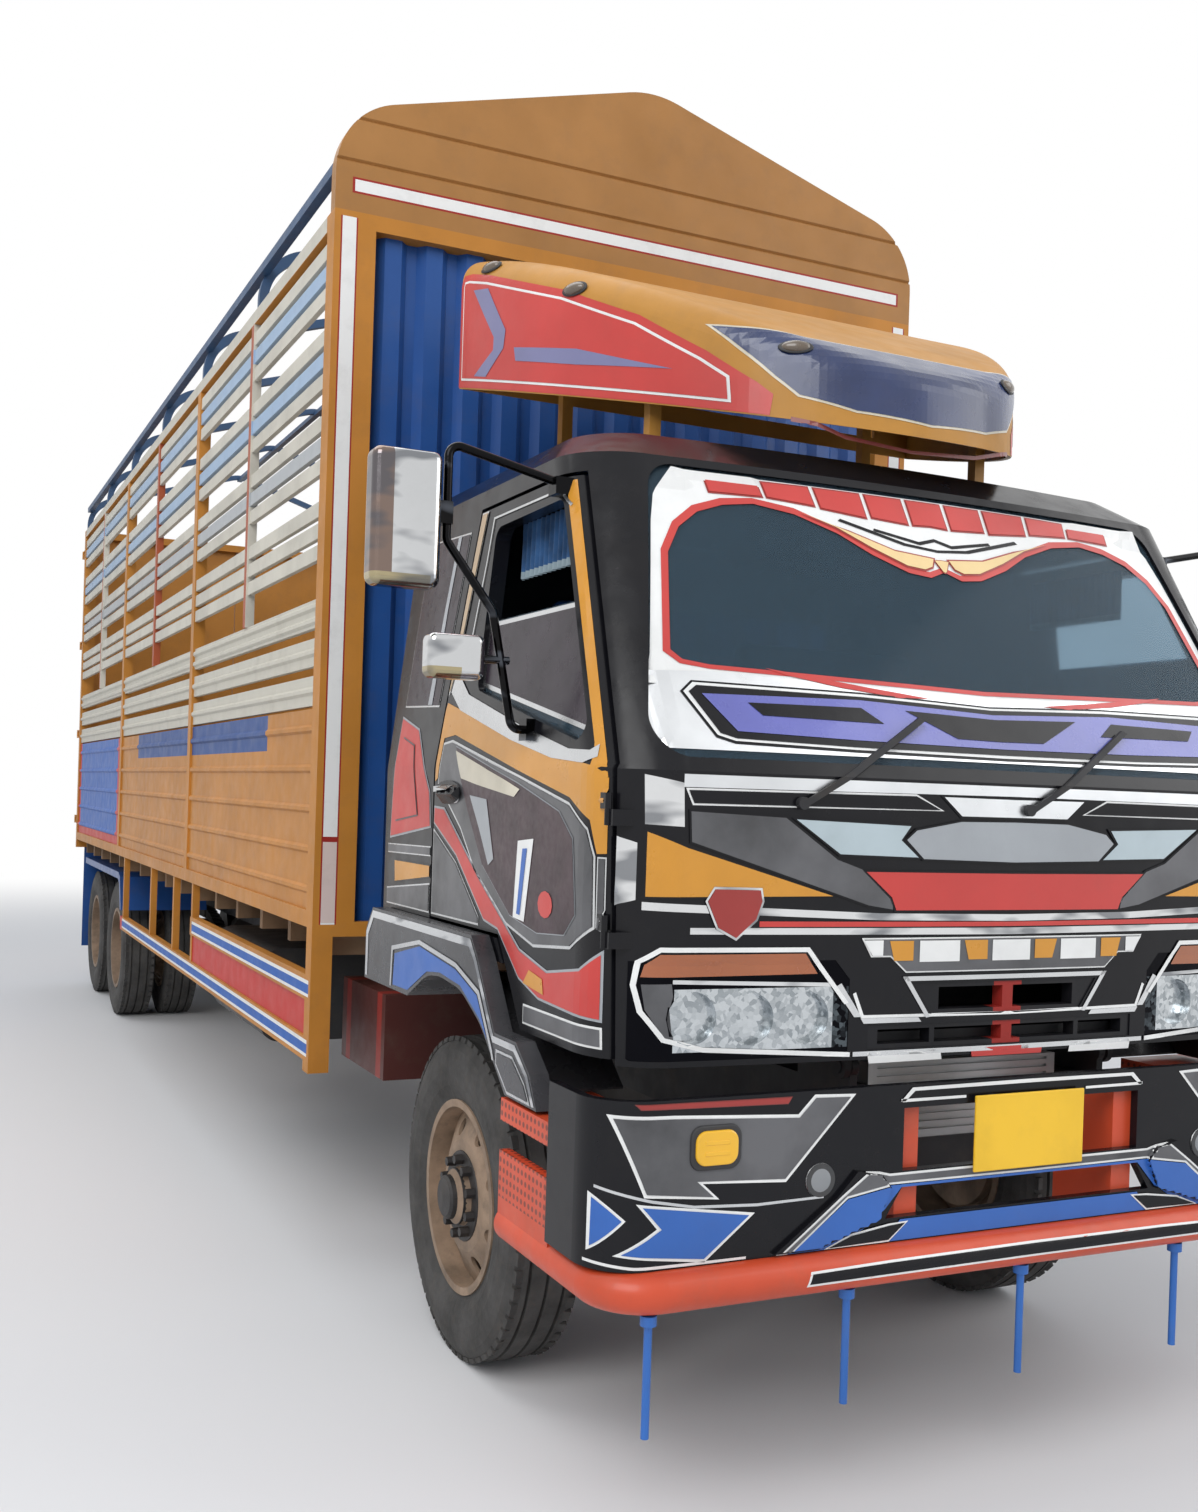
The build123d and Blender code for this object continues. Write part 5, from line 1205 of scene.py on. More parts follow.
@dataclass
class CabFront:
    """Films on the cab's face, from the windscreen down to the lamps."""

    nodes: tuple[str, ...] = ("cab_front_panel", "cab_shell", "headlamps", "grille")
    corner_cuts: tuple[float, ...] = tuple(range(990, 1190, 10))
    face_films: tuple[Film, ...] = (
        Film("corner_sheet", ((-1098, 1868), (-1005, 1850), (-1000, 1742), (-1094, 1746)), Paint.chrome),
        Film("corner_edge", ((-1150, 1715), (-1108, 1700), (-1108, 1560), (-1150, 1545)), Paint.chrome),
        Film("sill_sheet", ((-1005, 1872), (0, 1872), (0, 1845), (-1005, 1840)), Paint.silver, span=WHOLE),
        Film("sill_recess", ((-1000, 1838), (-330, 1842), (-240, 1800), (-980, 1796)), Paint.black, 1, 5),
        Film("centre_tray", ((-255, 1842), (0, 1842), (0, 1782), (-185, 1782)), Paint.silver, 2, 6,
             Paint.black, span=WHOLE),
        Film("corner_wedge", ((-1095, 1738), (-990, 1698), (-560, 1572), (-1095, 1562)), Paint.sign_ochre, 1,
             7, Paint.black),
        Film("swept_panel", ((-990, 1786), (-720, 1776), (-565, 1672), (-490, 1648), (-392, 1568),
             (-388, 1534), (-470, 1546), (-985, 1702)), Paint.smoke, 2, 5, Paint.black),
        Film("pale_panel", ((-705, 1772), (-335, 1764), (-368, 1722), (-308, 1672), (-562, 1676)),
             Paint.pale_film, 3, 6, Paint.black),
        Film("centre_badge", ((-366, 1722), (-330, 1752), (-185, 1778), (0, 1780), (0, 1662), (-305, 1668)),
             Paint.badge, 3, 5, Paint.black, span=WHOLE),
        Film("red_tray", ((-492, 1642), (0, 1642), (0, 1532), (-388, 1532), (-404, 1568)), Paint.red, 3, 6,
             Paint.black, span=WHOLE),
        Film("lower_sheet", ((-1095, 1556), (-430, 1530), (0, 1526), (0, 1508), (-430, 1512), (-1095, 1536)),
             Paint.chrome, span=WHOLE),
        Film("red_line", ((-785, 1510), (0, 1506), (0, 1494), (-785, 1496)), Paint.red, span=WHOLE),
        Film("lower_sheet_2", ((-975, 1494), (0, 1490), (0, 1472), (-975, 1478)), Paint.chrome, span=WHOLE),
        Film("shield", ((-938, 1560), (-915, 1596), (-782, 1594), (-775, 1560), (-792, 1512), (-850, 1462),
             (-905, 1490)), Paint.dark_red, 3, 6, Paint.chrome, span=ONE),
        Film("name_bar", ((-485, 1466), (0, 1466), (0, 1374), (-345, 1374), (-395, 1416), (-455, 1416)),
             Paint.smoke, 2, 4, span=WHOLE),
        Film("name_block_outer", ((-480, 1460), (-420, 1460), (-420, 1420), (-452, 1420)), Paint.white, 4),
        Film("name_block_mid", ((-305, 1458), (-175, 1458), (-175, 1402), (-305, 1402)), Paint.white, 4),
        Film("name_block_centre", ((-65, 1458), (0, 1458), (0, 1402), (-65, 1402)), Paint.white, 4,
             span=WHOLE),
        Film("name_lozenge", ((-400, 1458), (-325, 1458), (-325, 1406), (-385, 1406)), Paint.sign_ochre, 4),
        Film("name_lozenge_mid", ((-160, 1458), (-82, 1458), (-82, 1406), (-145, 1406)), Paint.sign_ochre, 4),
        Film("grille_rim_top", ((0, 1364), (-354, 1364), (-344, 1352), (0, 1352)), Paint.bright_trim, 2,
             span=WHOLE),
        Film("grille_rim_side", ((-354, 1364), (-275, 1254), (-262, 1256), (-338, 1364)), Paint.bright_trim,
             2),
        Film("grille_bar", ((-480, 1258), (-300, 1256), (-290, 1244), (-470, 1244)), Paint.bright_trim, 2),
        Film("grille_foot", ((-500, 1172), (0, 1172), (0, 1158), (-500, 1160)), Paint.bright_trim, 2,
             span=WHOLE),
        Film("jaw_line", ((-560, 1340), (-500, 1262), (-478, 1262), (-540, 1350)), Paint.bright_trim, 2),
        Film("amber_band", ((-1092, 1372), (-1084, 1402), (-1050, 1428), (-650, 1428), (-612, 1376)),
             Paint.amber_dark, 2),
        Film("lamp_line_top", ((-1112, 1352), (-1104, 1412), (-1052, 1446), (-640, 1444), (-596, 1392),
             (-518, 1300), (-530, 1296), (-606, 1384), (-646, 1432), (-1048, 1434), (-1092, 1406),
             (-1100, 1352)), Paint.white, 3),
        Film("lamp_line_low", ((-1112, 1352), (-1096, 1286), (-1040, 1214), (-930, 1186), (-510, 1160),
             (-510, 1172), (-928, 1198), (-1032, 1224), (-1084, 1290), (-1100, 1352)), Paint.white, 3),
        Film("lamp_cheek", ((-1090, 1354), (-1018, 1356), (-996, 1204), (-1036, 1226), (-1080, 1292)),
             Paint.smoke),
        Film("lamp_step", ((-1016, 1366), (-560, 1352), (-560, 1342), (-1016, 1356)), Paint.chrome, 2),
        Film("face_line", ((-505, 1322), (-478, 1258), (0, 1254), (0, 1262), (-470, 1266), (-496, 1326)),
             Paint.white, span=WHOLE),
        Film("bar_left", ((-456, 1168), (-225, 1168), (-220, 1142), (-450, 1140)), Paint.white, 2),
        Film("bar_middle", ((-125, 1168), (0, 1168), (0, 1144), (-120, 1144)), Paint.red, 2, span=WHOLE),
    )
    screen_films: tuple[Film, ...] = (
        Film("screen_border", ((-1045, 2100), (-1018, 2180), (-930, 2560), (-905, 2640), (-850, 2722),
             (0, 2724), (0, 2500), (-55, 2478), (-130, 2486), (-240, 2530), (-340, 2585), (-470, 2632),
             (-600, 2650), (-700, 2636), (-790, 2606), (-860, 2552), (-912, 2470), (-972, 2190), (-940, 2160),
             (-860, 2150), (0, 2128), (0, 2092)), Paint.white, span=WHOLE),
        Film("screen_line", ((-984, 2186), (-922, 2474), (-868, 2560), (-796, 2616), (-702, 2648),
             (-600, 2660), (-470, 2644), (-336, 2596), (-236, 2541), (-128, 2497), (-55, 2490), (0, 2510),
             (0, 2494), (-56, 2472), (-132, 2480), (-244, 2524), (-344, 2579), (-472, 2624), (-600, 2642),
             (-698, 2628), (-784, 2598), (-852, 2546), (-902, 2468), (-962, 2192), (-934, 2168), (-860, 2158),
             (0, 2136), (0, 2124), (-860, 2146), (-944, 2156)), Paint.red, 2, span=WHOLE),
        Film("flame", ((-455, 2628), (-300, 2592), (-160, 2548), (-20, 2536), (-38, 2502), (-70, 2490),
             (-132, 2496), (-240, 2540), (-345, 2592)), Paint.flame, 3, 5, Paint.dark_red),
        Film("flame_tip", ((-30, 2530), (0, 2532), (0, 2488), (-8, 2492)), Paint.flame, 3, 3, Paint.dark_red,
             span=WHOLE),
        Film("zigzag_a", ((-330, 2620), (-120, 2566), (0, 2556), (0, 2564), (-110, 2574), (-320, 2628)),
             Paint.black, 2, span=WHOLE),
        Film("zigzag_b", ((-210, 2610), (-60, 2584), (0, 2600), (0, 2590), (-58, 2574), (-215, 2602)),
             Paint.black, 2, span=WHOLE),
        Film("red_block_a", ((-742, 2716), (-570, 2718), (-560, 2664), (-735, 2660)), Paint.red, 2, 5,
             Paint.dark_red),
        Film("red_block_b", ((-560, 2718), (-400, 2720), (-392, 2654), (-552, 2664)), Paint.red, 2, 5,
             Paint.dark_red),
        Film("red_block_c", ((-388, 2720), (-225, 2720), (-222, 2636), (-380, 2650)), Paint.red, 2, 5,
             Paint.dark_red),
        Film("red_block_d", ((-214, 2720), (-78, 2720), (-76, 2632), (-210, 2640)), Paint.red, 2, 5,
             Paint.dark_red),
        Film("red_block_e", ((-66, 2720), (0, 2720), (0, 2636), (-66, 2632)), Paint.red, 2, 5, Paint.dark_red,
             span=WHOLE),
        Film("swoosh_a", ((-700, 2158), (-380, 2122), (-200, 2104), (-300, 2100), (-480, 2118), (-640, 2142)),
             Paint.red, 3),
        Film("silver_field", ((-1046, 2132), (-860, 2140), (0, 2116), (0, 1934), (-1030, 1934),
             (-1072, 1950)), Paint.silver, 2, span=WHOLE),
        Film("hexagon", ((-962, 2082), (-925, 2112), (-425, 2108), (0, 2092), (0, 1940), (-490, 1944),
             (-840, 1952), (-890, 1966)), Paint.white, 3, 6, Paint.black, span=WHOLE),
        Film("hexagon_black", ((-940, 2080), (-915, 2098), (-425, 2094), (0, 2080), (0, 1954), (-490, 1956),
             (-835, 1964), (-878, 1976)), Paint.black, 5, span=WHOLE),
        Film("hexagon_blue", ((-905, 2076), (-440, 2084), (0, 2066), (0, 1970), (-470, 1974), (-828, 1982)),
             Paint.violet, 6, span=WHOLE),
        Film("hexagon_bar", ((-780, 2058), (-440, 2062), (-380, 2022), (-745, 2026)), Paint.black, 7),
        Film("hexagon_wedge", ((-300, 2062), (0, 2052), (0, 1990), (-150, 1992)), Paint.black, 7, span=WHOLE),
    )

    def build(self) -> None:
        """Lay all films of the face and of the windscreen."""
        face = Panel(self.nodes, Face.FRONT, "cab", step=25.0, reach=0.45, fine=self.corner_cuts)
        face.dress(self.face_films)
        Panel(("cab_glass",), Face.FRONT, "cab", step=35.0).dress(self.screen_films)


@dataclass
class Bumper:
    """Films, lamps and the blank plate on the bumper.

    A fog lamp's rim and lens are each a half width, a front and a back station, a foot, a
    top and a corner's radius. The small lamp is its place across, its station and its
    height. Stations and places across are in millimetres, the rest in metres.
    """

    corner_cuts: tuple[float, ...] = tuple(range(1122, 1260, 6))
    fog_holes: tuple[tuple[float, float, float, float], ...] = (
        (-1017, -893, 936, 1028), (893, 1017, 936, 1028),
    )
    fog_middle: float = 955.0
    fog_rim: tuple[float, float, float, float, float, float] = (0.070, 41, 56, 0.928, 1.036, 0.030)
    fog_lens: tuple[float, float, float, float, float, float] = (0.058, 35, 50, 0.940, 1.024, 0.028)
    fog_ribs: Range = (0.964, 0.990)
    small_lamp: tuple[float, float, float] = (651.0, 52.0, 0.877)
    plate_half: float = 0.185
    bracket_middles: Range = (-0.12, 0.12)
    tube_strip: Film = Film("tube_strip", ((-700, 668), (-455, 672), (0, 674), (0, 634), (-712, 632)),
                            Paint.black, border=6, span=WHOLE)
    films: tuple[Film, ...] = (
        Film("lamp_panel", ((-1224, 1068), (-1071, 1064), (-722, 1045), (-675, 1091), (-552, 1086),
             (-752, 881), (-986, 896), (-939, 855), (-1141, 875)), Paint.smoke, 1, 8),
        Film("bumper_red_line", ((-1170, 1094), (-740, 1090), (-752, 1072), (-1155, 1080)), Paint.dark_red, 1,
             2, Paint.plum),
        Film("groove_line", ((-1240, 900), (-1212, 892), (-1119, 868), (-1007, 846), (-833, 836), (-640, 838),
             (-640, 832), (-833, 829), (-1007, 839), (-1119, 861), (-1212, 885), (-1240, 893)),
             Paint.bright_trim),
        Film("chevron_small", ((-1248, 882), (-1181, 821), (-1248, 742)), Paint.blue, 1, 6),
        Film("chevron_large", ((-1160, 861), (-838, 814), (-975, 708), (-1206, 738), (-1106, 799)),
             Paint.blue, 1, 8),
        Film("foot_line", ((-1252, 716), (-1162, 706), (-1021, 704), (-860, 704), (-860, 710), (-1021, 711),
             (-1162, 713), (-1252, 723)), Paint.white),
    )
    arm_films: tuple[Film, ...] = (
        Film("arm_grey", ((-775, 702), (-592, 836), (-515, 888), (-472, 884), (-440, 876), (0, 876), (0, 846),
             (-440, 848), (-575, 828), (-740, 702)), Paint.smoke, 1, 6, span=WHOLE),
        Film("arm_blue", ((-742, 703), (-575, 826), (-440, 846), (0, 846), (0, 839), (-404, 839), (-470, 770),
             (-520, 742), (-560, 728), (-632, 703)), Paint.blue, 2, span=WHOLE),
        Film("chin", ((-405, 757), (0, 757), (0, 704), (-450, 704)), Paint.blue, 2, span=WHOLE),
        Film("arm_wedge", ((-636, 704), (-556, 735), (-440, 750), (-380, 752), (-440, 704)), Paint.black, 3,
             5),
        Film("mouth_band", ((-414, 1058), (-378, 1092), (0, 1094), (0, 1084), (-370, 1083), (-400, 1058)),
             Paint.white, 2, span=WHOLE),
        Film("mouth_band_low", ((-414, 1064), (-408, 1056), (-205, 1056), (-205, 1063)), Paint.white, 2),
    )

    def build(self) -> None:
        """Lay the bumper's films, hang its plate and finish its lamps."""
        whole = Panel(("bumper", "bumper_frame"), Face.FRONT, "chassis", step=25.0, fine=self.corner_cuts,
                      holes=self.fog_holes)
        arms = Panel(("bumper",), Face.FRONT, "chassis", step=8.0, reach=0.10)
        tube = Panel(("bumper_frame",), Face.FRONT, "chassis", step=8.0, lift=0.4)
        for panel, films in ((whole, self.films), (arms, self.arm_films), (tube, (self.tube_strip,))):
            panel.dress(films, "black_paint")
        self.plate()
        self.lamps()

    def lamps(self) -> None:
        """Put a rim and a ribbed lens at each fog lamp, and a bright rim round each small lamp."""
        rims, lenses, rings, greys = (bmesh.new() for _ in range(4))
        across, face, height = self.small_lamp
        for side, _ in SIDES:
            x = side * self.fog_middle * MM
            for bm, (half, s0, s1, z0, z1, corner) in ((rims, self.fog_rim), (lenses, self.fog_lens)):
                low, high = Vector((x - half, station(s0), z0)), Vector((x + half, station(s1), z1))
                rounded_lens(bm, low, high, corner)
            for z in self.fog_ribs:
                low, high = Vector((x - 0.034, station(33.5), z)), Vector((x + 0.034, station(36), z + 0.010))
                rounded_box(lenses, low, high, 0.001, 1)
            centre = Vector((side * across * MM, station(face), height))
            place = Matrix.Translation(centre) @ Matrix.Rotation(math.pi / 2, 4, "X")
            ring = bmesh.ops.create_cone(rings, cap_ends=False, segments=32, radius1=0.046, radius2=0.041,
                                         depth=0.012)
            bmesh.ops.transform(rings, matrix=place, verts=ring["verts"])
            bowl = bmesh.ops.create_uvsphere(greys, u_segments=24, v_segments=12, radius=0.040)
            bmesh.ops.scale(greys, vec=(1, 1, 0.22), verts=bowl["verts"])
            bmesh.ops.transform(greys, matrix=place, verts=bowl["verts"])
        MeshPiece("fog_rims", "chassis", Paint.trim, "black_paint").make(rims)
        MeshPiece("fog_lenses", "chassis", Paint.amber, "amber_lens").make(lenses)
        MeshPiece("small_lamp_rims", "chassis", Paint.bright_trim, "black_paint").make(rings, smooth=True)
        MeshPiece("small_lamp_lenses", "chassis", Paint.grey_lens, "lamp_lens").make(greys, smooth=True)

    def plate(self) -> None:
        """Hang a blank yellow plate in front of the bumper's upper mouth."""
        half = self.plate_half
        plate, bracket = bmesh.new(), bmesh.new()
        rounded_box(plate, Vector((-half, station(30), 0.862)), Vector((half, station(38), 1.062)), 0.003, 2)
        for x in self.bracket_middles:
            low = Vector((x - 0.012, station(37), 1.03))
            rounded_box(bracket, low, low + Vector((0.024, 0.016, 0.03)), 0.002, 1)
        MeshPiece("blank_plate", "chassis", Paint.plate, "black_paint").make(plate)
        MeshPiece("plate_bracket", "chassis", Paint.satin, "black_paint").make(bracket)


def oval(across: float, up: float, half: float, rise: float, count: int = 24) -> Outline:
    """Return an oval outline.

    Args:
        across: its middle along the first axis.
        up: its middle along the second.
        half: half its length.
        rise: half its height.
        count: how many corners it has.

    Returns:
        The outline.
    """
    turns = [math.tau * i / count for i in range(count)]
    return tuple((across + half * math.cos(t), up + rise * math.sin(t)) for t in turns)


@dataclass
class Doors:
    """Films on both doors, their glasses and the cab's quarters and flares."""

    door_films: tuple[Film, ...] = (
        Film("door_low_ochre", ((1462, 2066), (1450, 2090), (916, 1979), (322, 1886), (268, 1856),
             (268, 1669), (296, 1667), (323, 1750), (437, 1805), (779, 1872), (1338, 1985), (1439, 1977),
             (1460, 1850), (1484, 1840), (1484, 1905)), Paint.sign_ochre),
        Film("door_front_ochre", ((270, 1858), (280, 1896), (700, 2678), (738, 2678), (715, 2634),
             (338, 1945), (328, 1915), (332, 1880)), Paint.sign_ochre),
        Film("window_trim", ((1408, 2172), (1428, 2122), (1325, 2062), (875, 1961), (568, 1907), (367, 1893),
             (312, 1908), (318, 1940), (345, 1925), (462, 1930), (823, 2003), (1265, 2108), (1344, 2158)),
             Paint.bright_trim, 2),
        Film("window_line", ((1344, 2158), (1300, 2300), (1262, 2520), (1248, 2650), (760, 2652), (690, 2600),
             (684, 2606), (756, 2659), (1256, 2657), (1270, 2521), (1308, 2301), (1352, 2160)),
             Paint.bright_trim, 2),
        Film("rear_strip", ((1310, 2686), (1364, 2686), (1391, 2518), (1414, 2360), (1440, 2185),
             (1450, 2110), (1425, 2140), (1405, 2200), (1385, 2296), (1345, 2509)), Paint.pale_ochre, 2, 5,
             Paint.bright_trim),
        Film("picture_frame", ((1436, 1962), (1356, 1970), (779, 1861), (438, 1792), (330, 1730), (300, 1661),
             (296, 1481), (406, 1419), (642, 1399), (842, 1441), (1108, 1578), (1236, 1695), (1456, 1832)),
             Paint.smoke, 1, 8, Paint.bright_trim),
        Film("picture_field", ((1310, 1950), (776, 1840), (491, 1769), (401, 1702), (372, 1508), (437, 1450),
             (614, 1438), (810, 1469), (1034, 1596), (1183, 1766)), Paint.picture, 3, 3, Paint.badge),
        Film("picture_pale", ((1300, 1935), (883, 1850), (760, 1822), (800, 1800), (1094, 1832),
             (1230, 1850)), Paint.picture_pale, 5),
        Film("picture_ribbon", ((760, 1680), (650, 1690), (700, 1462), (780, 1468)), Paint.white, 5),
        Film("picture_bar", ((722, 1660), (690, 1662), (728, 1478), (752, 1480)), Paint.blue, 6),
        Film("picture_dot", oval(560, 1520, 48, 36, 12), Paint.red, 5),
        Film("picture_stripe", ((1150, 1800), (1010, 1790), (940, 1620), (980, 1600), (1060, 1700)),
             Paint.badge, 5),
        Film("door_red_band", ((1484, 1762), (1387, 1758), (1069, 1564), (737, 1386), (546, 1348),
             (351, 1377), (268, 1432), (268, 1252), (598, 1264), (740, 1302), (905, 1420), (1018, 1436),
             (1268, 1612), (1484, 1706)), Paint.red, 1, 7, Paint.badge),
        Film("door_wedge", ((660, 1336), (570, 1322), (560, 1282), (700, 1296)), Paint.sign_ochre, 3),
        Film("door_rear_grey", ((1484, 1690), (1268, 1594), (1060, 1444), (1060, 1418), (1484, 1416)),
             Paint.smoke, 1, 6, Paint.bright_trim),
        Film("door_low_grey", ((700, 1240), (268, 1240), (266, 1186), (700, 1186)), Paint.smoke, 1, 6,
             Paint.white),
        Film("door_edge_grey", ((294, 1660), (268, 1660), (268, 1470), (294, 1484)), Paint.smoke, 1, 4,
             Paint.bright_trim),
        Film("handle_cup", oval(1345, 1806, 120, 37), Paint.black, 6),
        Film("handle_bar", ((1470, 1824), (1290, 1829), (1290, 1815), (1470, 1806)), Paint.bright_trim, 8),
    )
    glass_films: tuple[Film, ...] = (
        Film("glass_film", ((1218, 2326), (576, 2326), (470, 2140), (385, 1970), (1205, 2130)), Paint.tint, 1,
             14, Paint.bright_trim),
    )
    quarter_films: tuple[Film, ...] = (
        Film("quarter_dark", ((1532, 2080), (1886, 2092), (1858, 2530), (1800, 2655), (1450, 2640),
             (1478, 2400)), Paint.tint, 1, 6, Paint.bright_trim),
        Film("quarter_line", ((1600, 2090), (1640, 2091), (1600, 2400), (1560, 2640), (1530, 2640),
             (1570, 2400)), Paint.badge, 3),
        Film("quarter_red", ((1700, 2014), (1898, 2062), (1943, 1640), (1512, 1690), (1530, 1806)), Paint.red,
             1, 7, Paint.badge),
        Film("quarter_red_line", ((1720, 1960), (1850, 1990), (1880, 1700), (1640, 1725)), Paint.red, 3, 5,
             Paint.smoke),
        Film("quarter_ochre", ((1883, 1571), (1508, 1572), (1508, 1528), (1874, 1490)), Paint.sign_ochre, 1,
             5, Paint.black),
        Film("quarter_grey", ((1960, 1622), (1508, 1630), (1508, 1598), (1960, 1590)), Paint.smoke, 1, 4,
             Paint.bright_trim),
        Film("quarter_grey_low", ((1508, 1512), (1960, 1470), (1960, 1414), (1508, 1416)), Paint.smoke, 1, 5,
             Paint.bright_trim),
    )
    flare_films: tuple[Film, ...] = (
        Film("flare_edge", ((1990, 1160), (1990, 1312), (1919, 1390), (962, 1390), (911, 1340), (776, 1164),
             (759, 1144), (606, 1144), (513, 1080), (464, 1008), (482, 1006), (526, 1072), (612, 1126),
             (764, 1126), (790, 1150), (926, 1330), (972, 1366), (1910, 1366), (1966, 1304), (1966, 1160)),
             Paint.chrome),
        Film("flare_inner_line", ((1702, 1160), (1692, 1292), (1410, 1340), (1073, 1308), (876, 1252),
             (762, 1104), (750, 1078), (762, 1078), (774, 1098), (888, 1240), (1075, 1294), (1410, 1326),
             (1678, 1280), (1688, 1160)), Paint.bright_trim, 2),
        Film("flare_blue", ((1674, 1166), (1662, 1270), (1410, 1320), (1078, 1288), (896, 1236), (808, 1126),
             (872, 1174), (1035, 1246), (1215, 1262), (1335, 1250), (1520, 1168)), Paint.blue),
        Film("flare_leg", ((738, 1112), (620, 1112), (532, 1056), (490, 1006), (650, 1006), (738, 1070)),
             Paint.flare, 1, 8, Paint.bright_trim),
    )

    def build(self) -> None:
        """Lay the films of both sides."""
        for face, side in FLANKS:
            for node, body, films, step in (
                (f"door_{side}", f"door_{side}", self.door_films, 30.0),
                (f"door_glass_{side}", f"door_{side}", self.glass_films, 60.0),
                ("cab_shell", "cab", self.quarter_films, 35.0),
                ("wheel_arch_flares", "cab", self.flare_films, 12.0),
            ):
                Panel((node,), face, body, step=step, reach=0.14).dress(films, suffix=f"_{side}")


FLANK: Outline = (
    (1975, 3246), (1975, 3600), (1955, 3636), (1900, 3628), (1773, 3589), (1369, 3438), (1086, 3300),
    (886, 3159), (758, 3050), (722, 3010), (728, 2948), (927, 2996), (1269, 3077), (1600, 3156),
)
BLUNT: Outline = FLANK[:8] + ((800, 3086), (790, 2963)) + FLANK[-3:]


@dataclass
class RoofDeflector:
    """The deflector's red flanks, dark blue brow and marker lamps."""

    marker_places: Outline = ((941, 1784), (827, 1327), (650, 975), (395, 690))
    marker_size: tuple[float, float, float] = (0.088, 0.040, 0.036)
    seat_grow: float = 1.2
    seat_thick: float = 0.014
    proud: float = 0.004
    flank_films: tuple[Film, ...] = (
        Film("flank_red", FLANK, Paint.red),
        Film("flank_line", inset(BLUNT, 24), Paint.red, 2, 8),
        Film("flank_chevron", ((1867, 3560), (1766, 3540), (1650, 3370), (1660, 3310), (1765, 3236),
             (1846, 3256), (1722, 3318), (1720, 3362)), Paint.flank_blue, 4),
        Film("flank_bar", ((1600, 3300), (1308, 3235), (977, 3116), (1306, 3184), (1590, 3253)),
             Paint.flank_blue, 4),
    )
    brow_films: tuple[Film, ...] = (
        Film("brow_blue", ((-588, 3240), (-520, 3148), (-448, 3060), (-390, 3000), (-239, 2956), (0, 2936),
             (0, 3200), (-340, 3198), (-520, 3226)), Paint.deep_blue, 1, 7, Paint.picture_pale, span=WHOLE),
        Film("brow_foot", ((-405, 2942), (-239, 2900), (0, 2886), (0, 2876), (-239, 2888), (-405, 2928)),
             Paint.plum, span=WHOLE),
    )

    def build(self) -> None:
        """Dress the deflector."""
        for face, side in FLANKS:
            flank = Panel(("visor",), face, "cab", step=14.0, reach=1.2)
            flank.dress(self.flank_films, "visor_paint", f"_{side}")
        Panel(("visor",), Face.FRONT, "cab", step=20.0, reach=1.4).dress(self.brow_films, "visor_paint")
        self.markers()

    def markers(self) -> None:
        """Set small oval marker lamps along the deflector's upper edges."""
        surface = Panel(("visor",), Face.TOP, "cab")
        lamps, seats = bmesh.new(), bmesh.new()
        seat_size = Vector(self.marker_size) * self.seat_grow
        seat_size.z = self.seat_thick
        for x, s in self.marker_places:
            for side, _ in SIDES:
                hit = surface.land(side * x * MM, station(s))
                if hit is None:
                    continue
                turn = hit[1].to_track_quat("Z", "Y").to_matrix().to_4x4()
                place = Matrix.Translation(hit[0] + hit[1] * self.proud) @ turn
                for bm, size in ((lamps, Vector(self.marker_size)), (seats, seat_size)):
                    verts = bmesh.ops.create_uvsphere(bm, u_segments=20, v_segments=10, radius=0.5)["verts"]
                    bmesh.ops.scale(bm, vec=size, verts=verts)
                    bmesh.ops.transform(bm, matrix=place, verts=verts)
        MeshPiece("marker_lamps", "cab", Paint.marker, "trim_black").make(lamps, smooth=True)
        MeshPiece("marker_seats", "cab", Paint.trim, "trim_black").make(seats, smooth=True)


@dataclass(frozen=True)
class Axle:
    """One axle, with its tyres' middles, its nuts' place and their ring, in millimetres."""

    name: str
    plural: str
    s: float
    tyres: tuple[float, ...]
    nuts: float
    ring: float


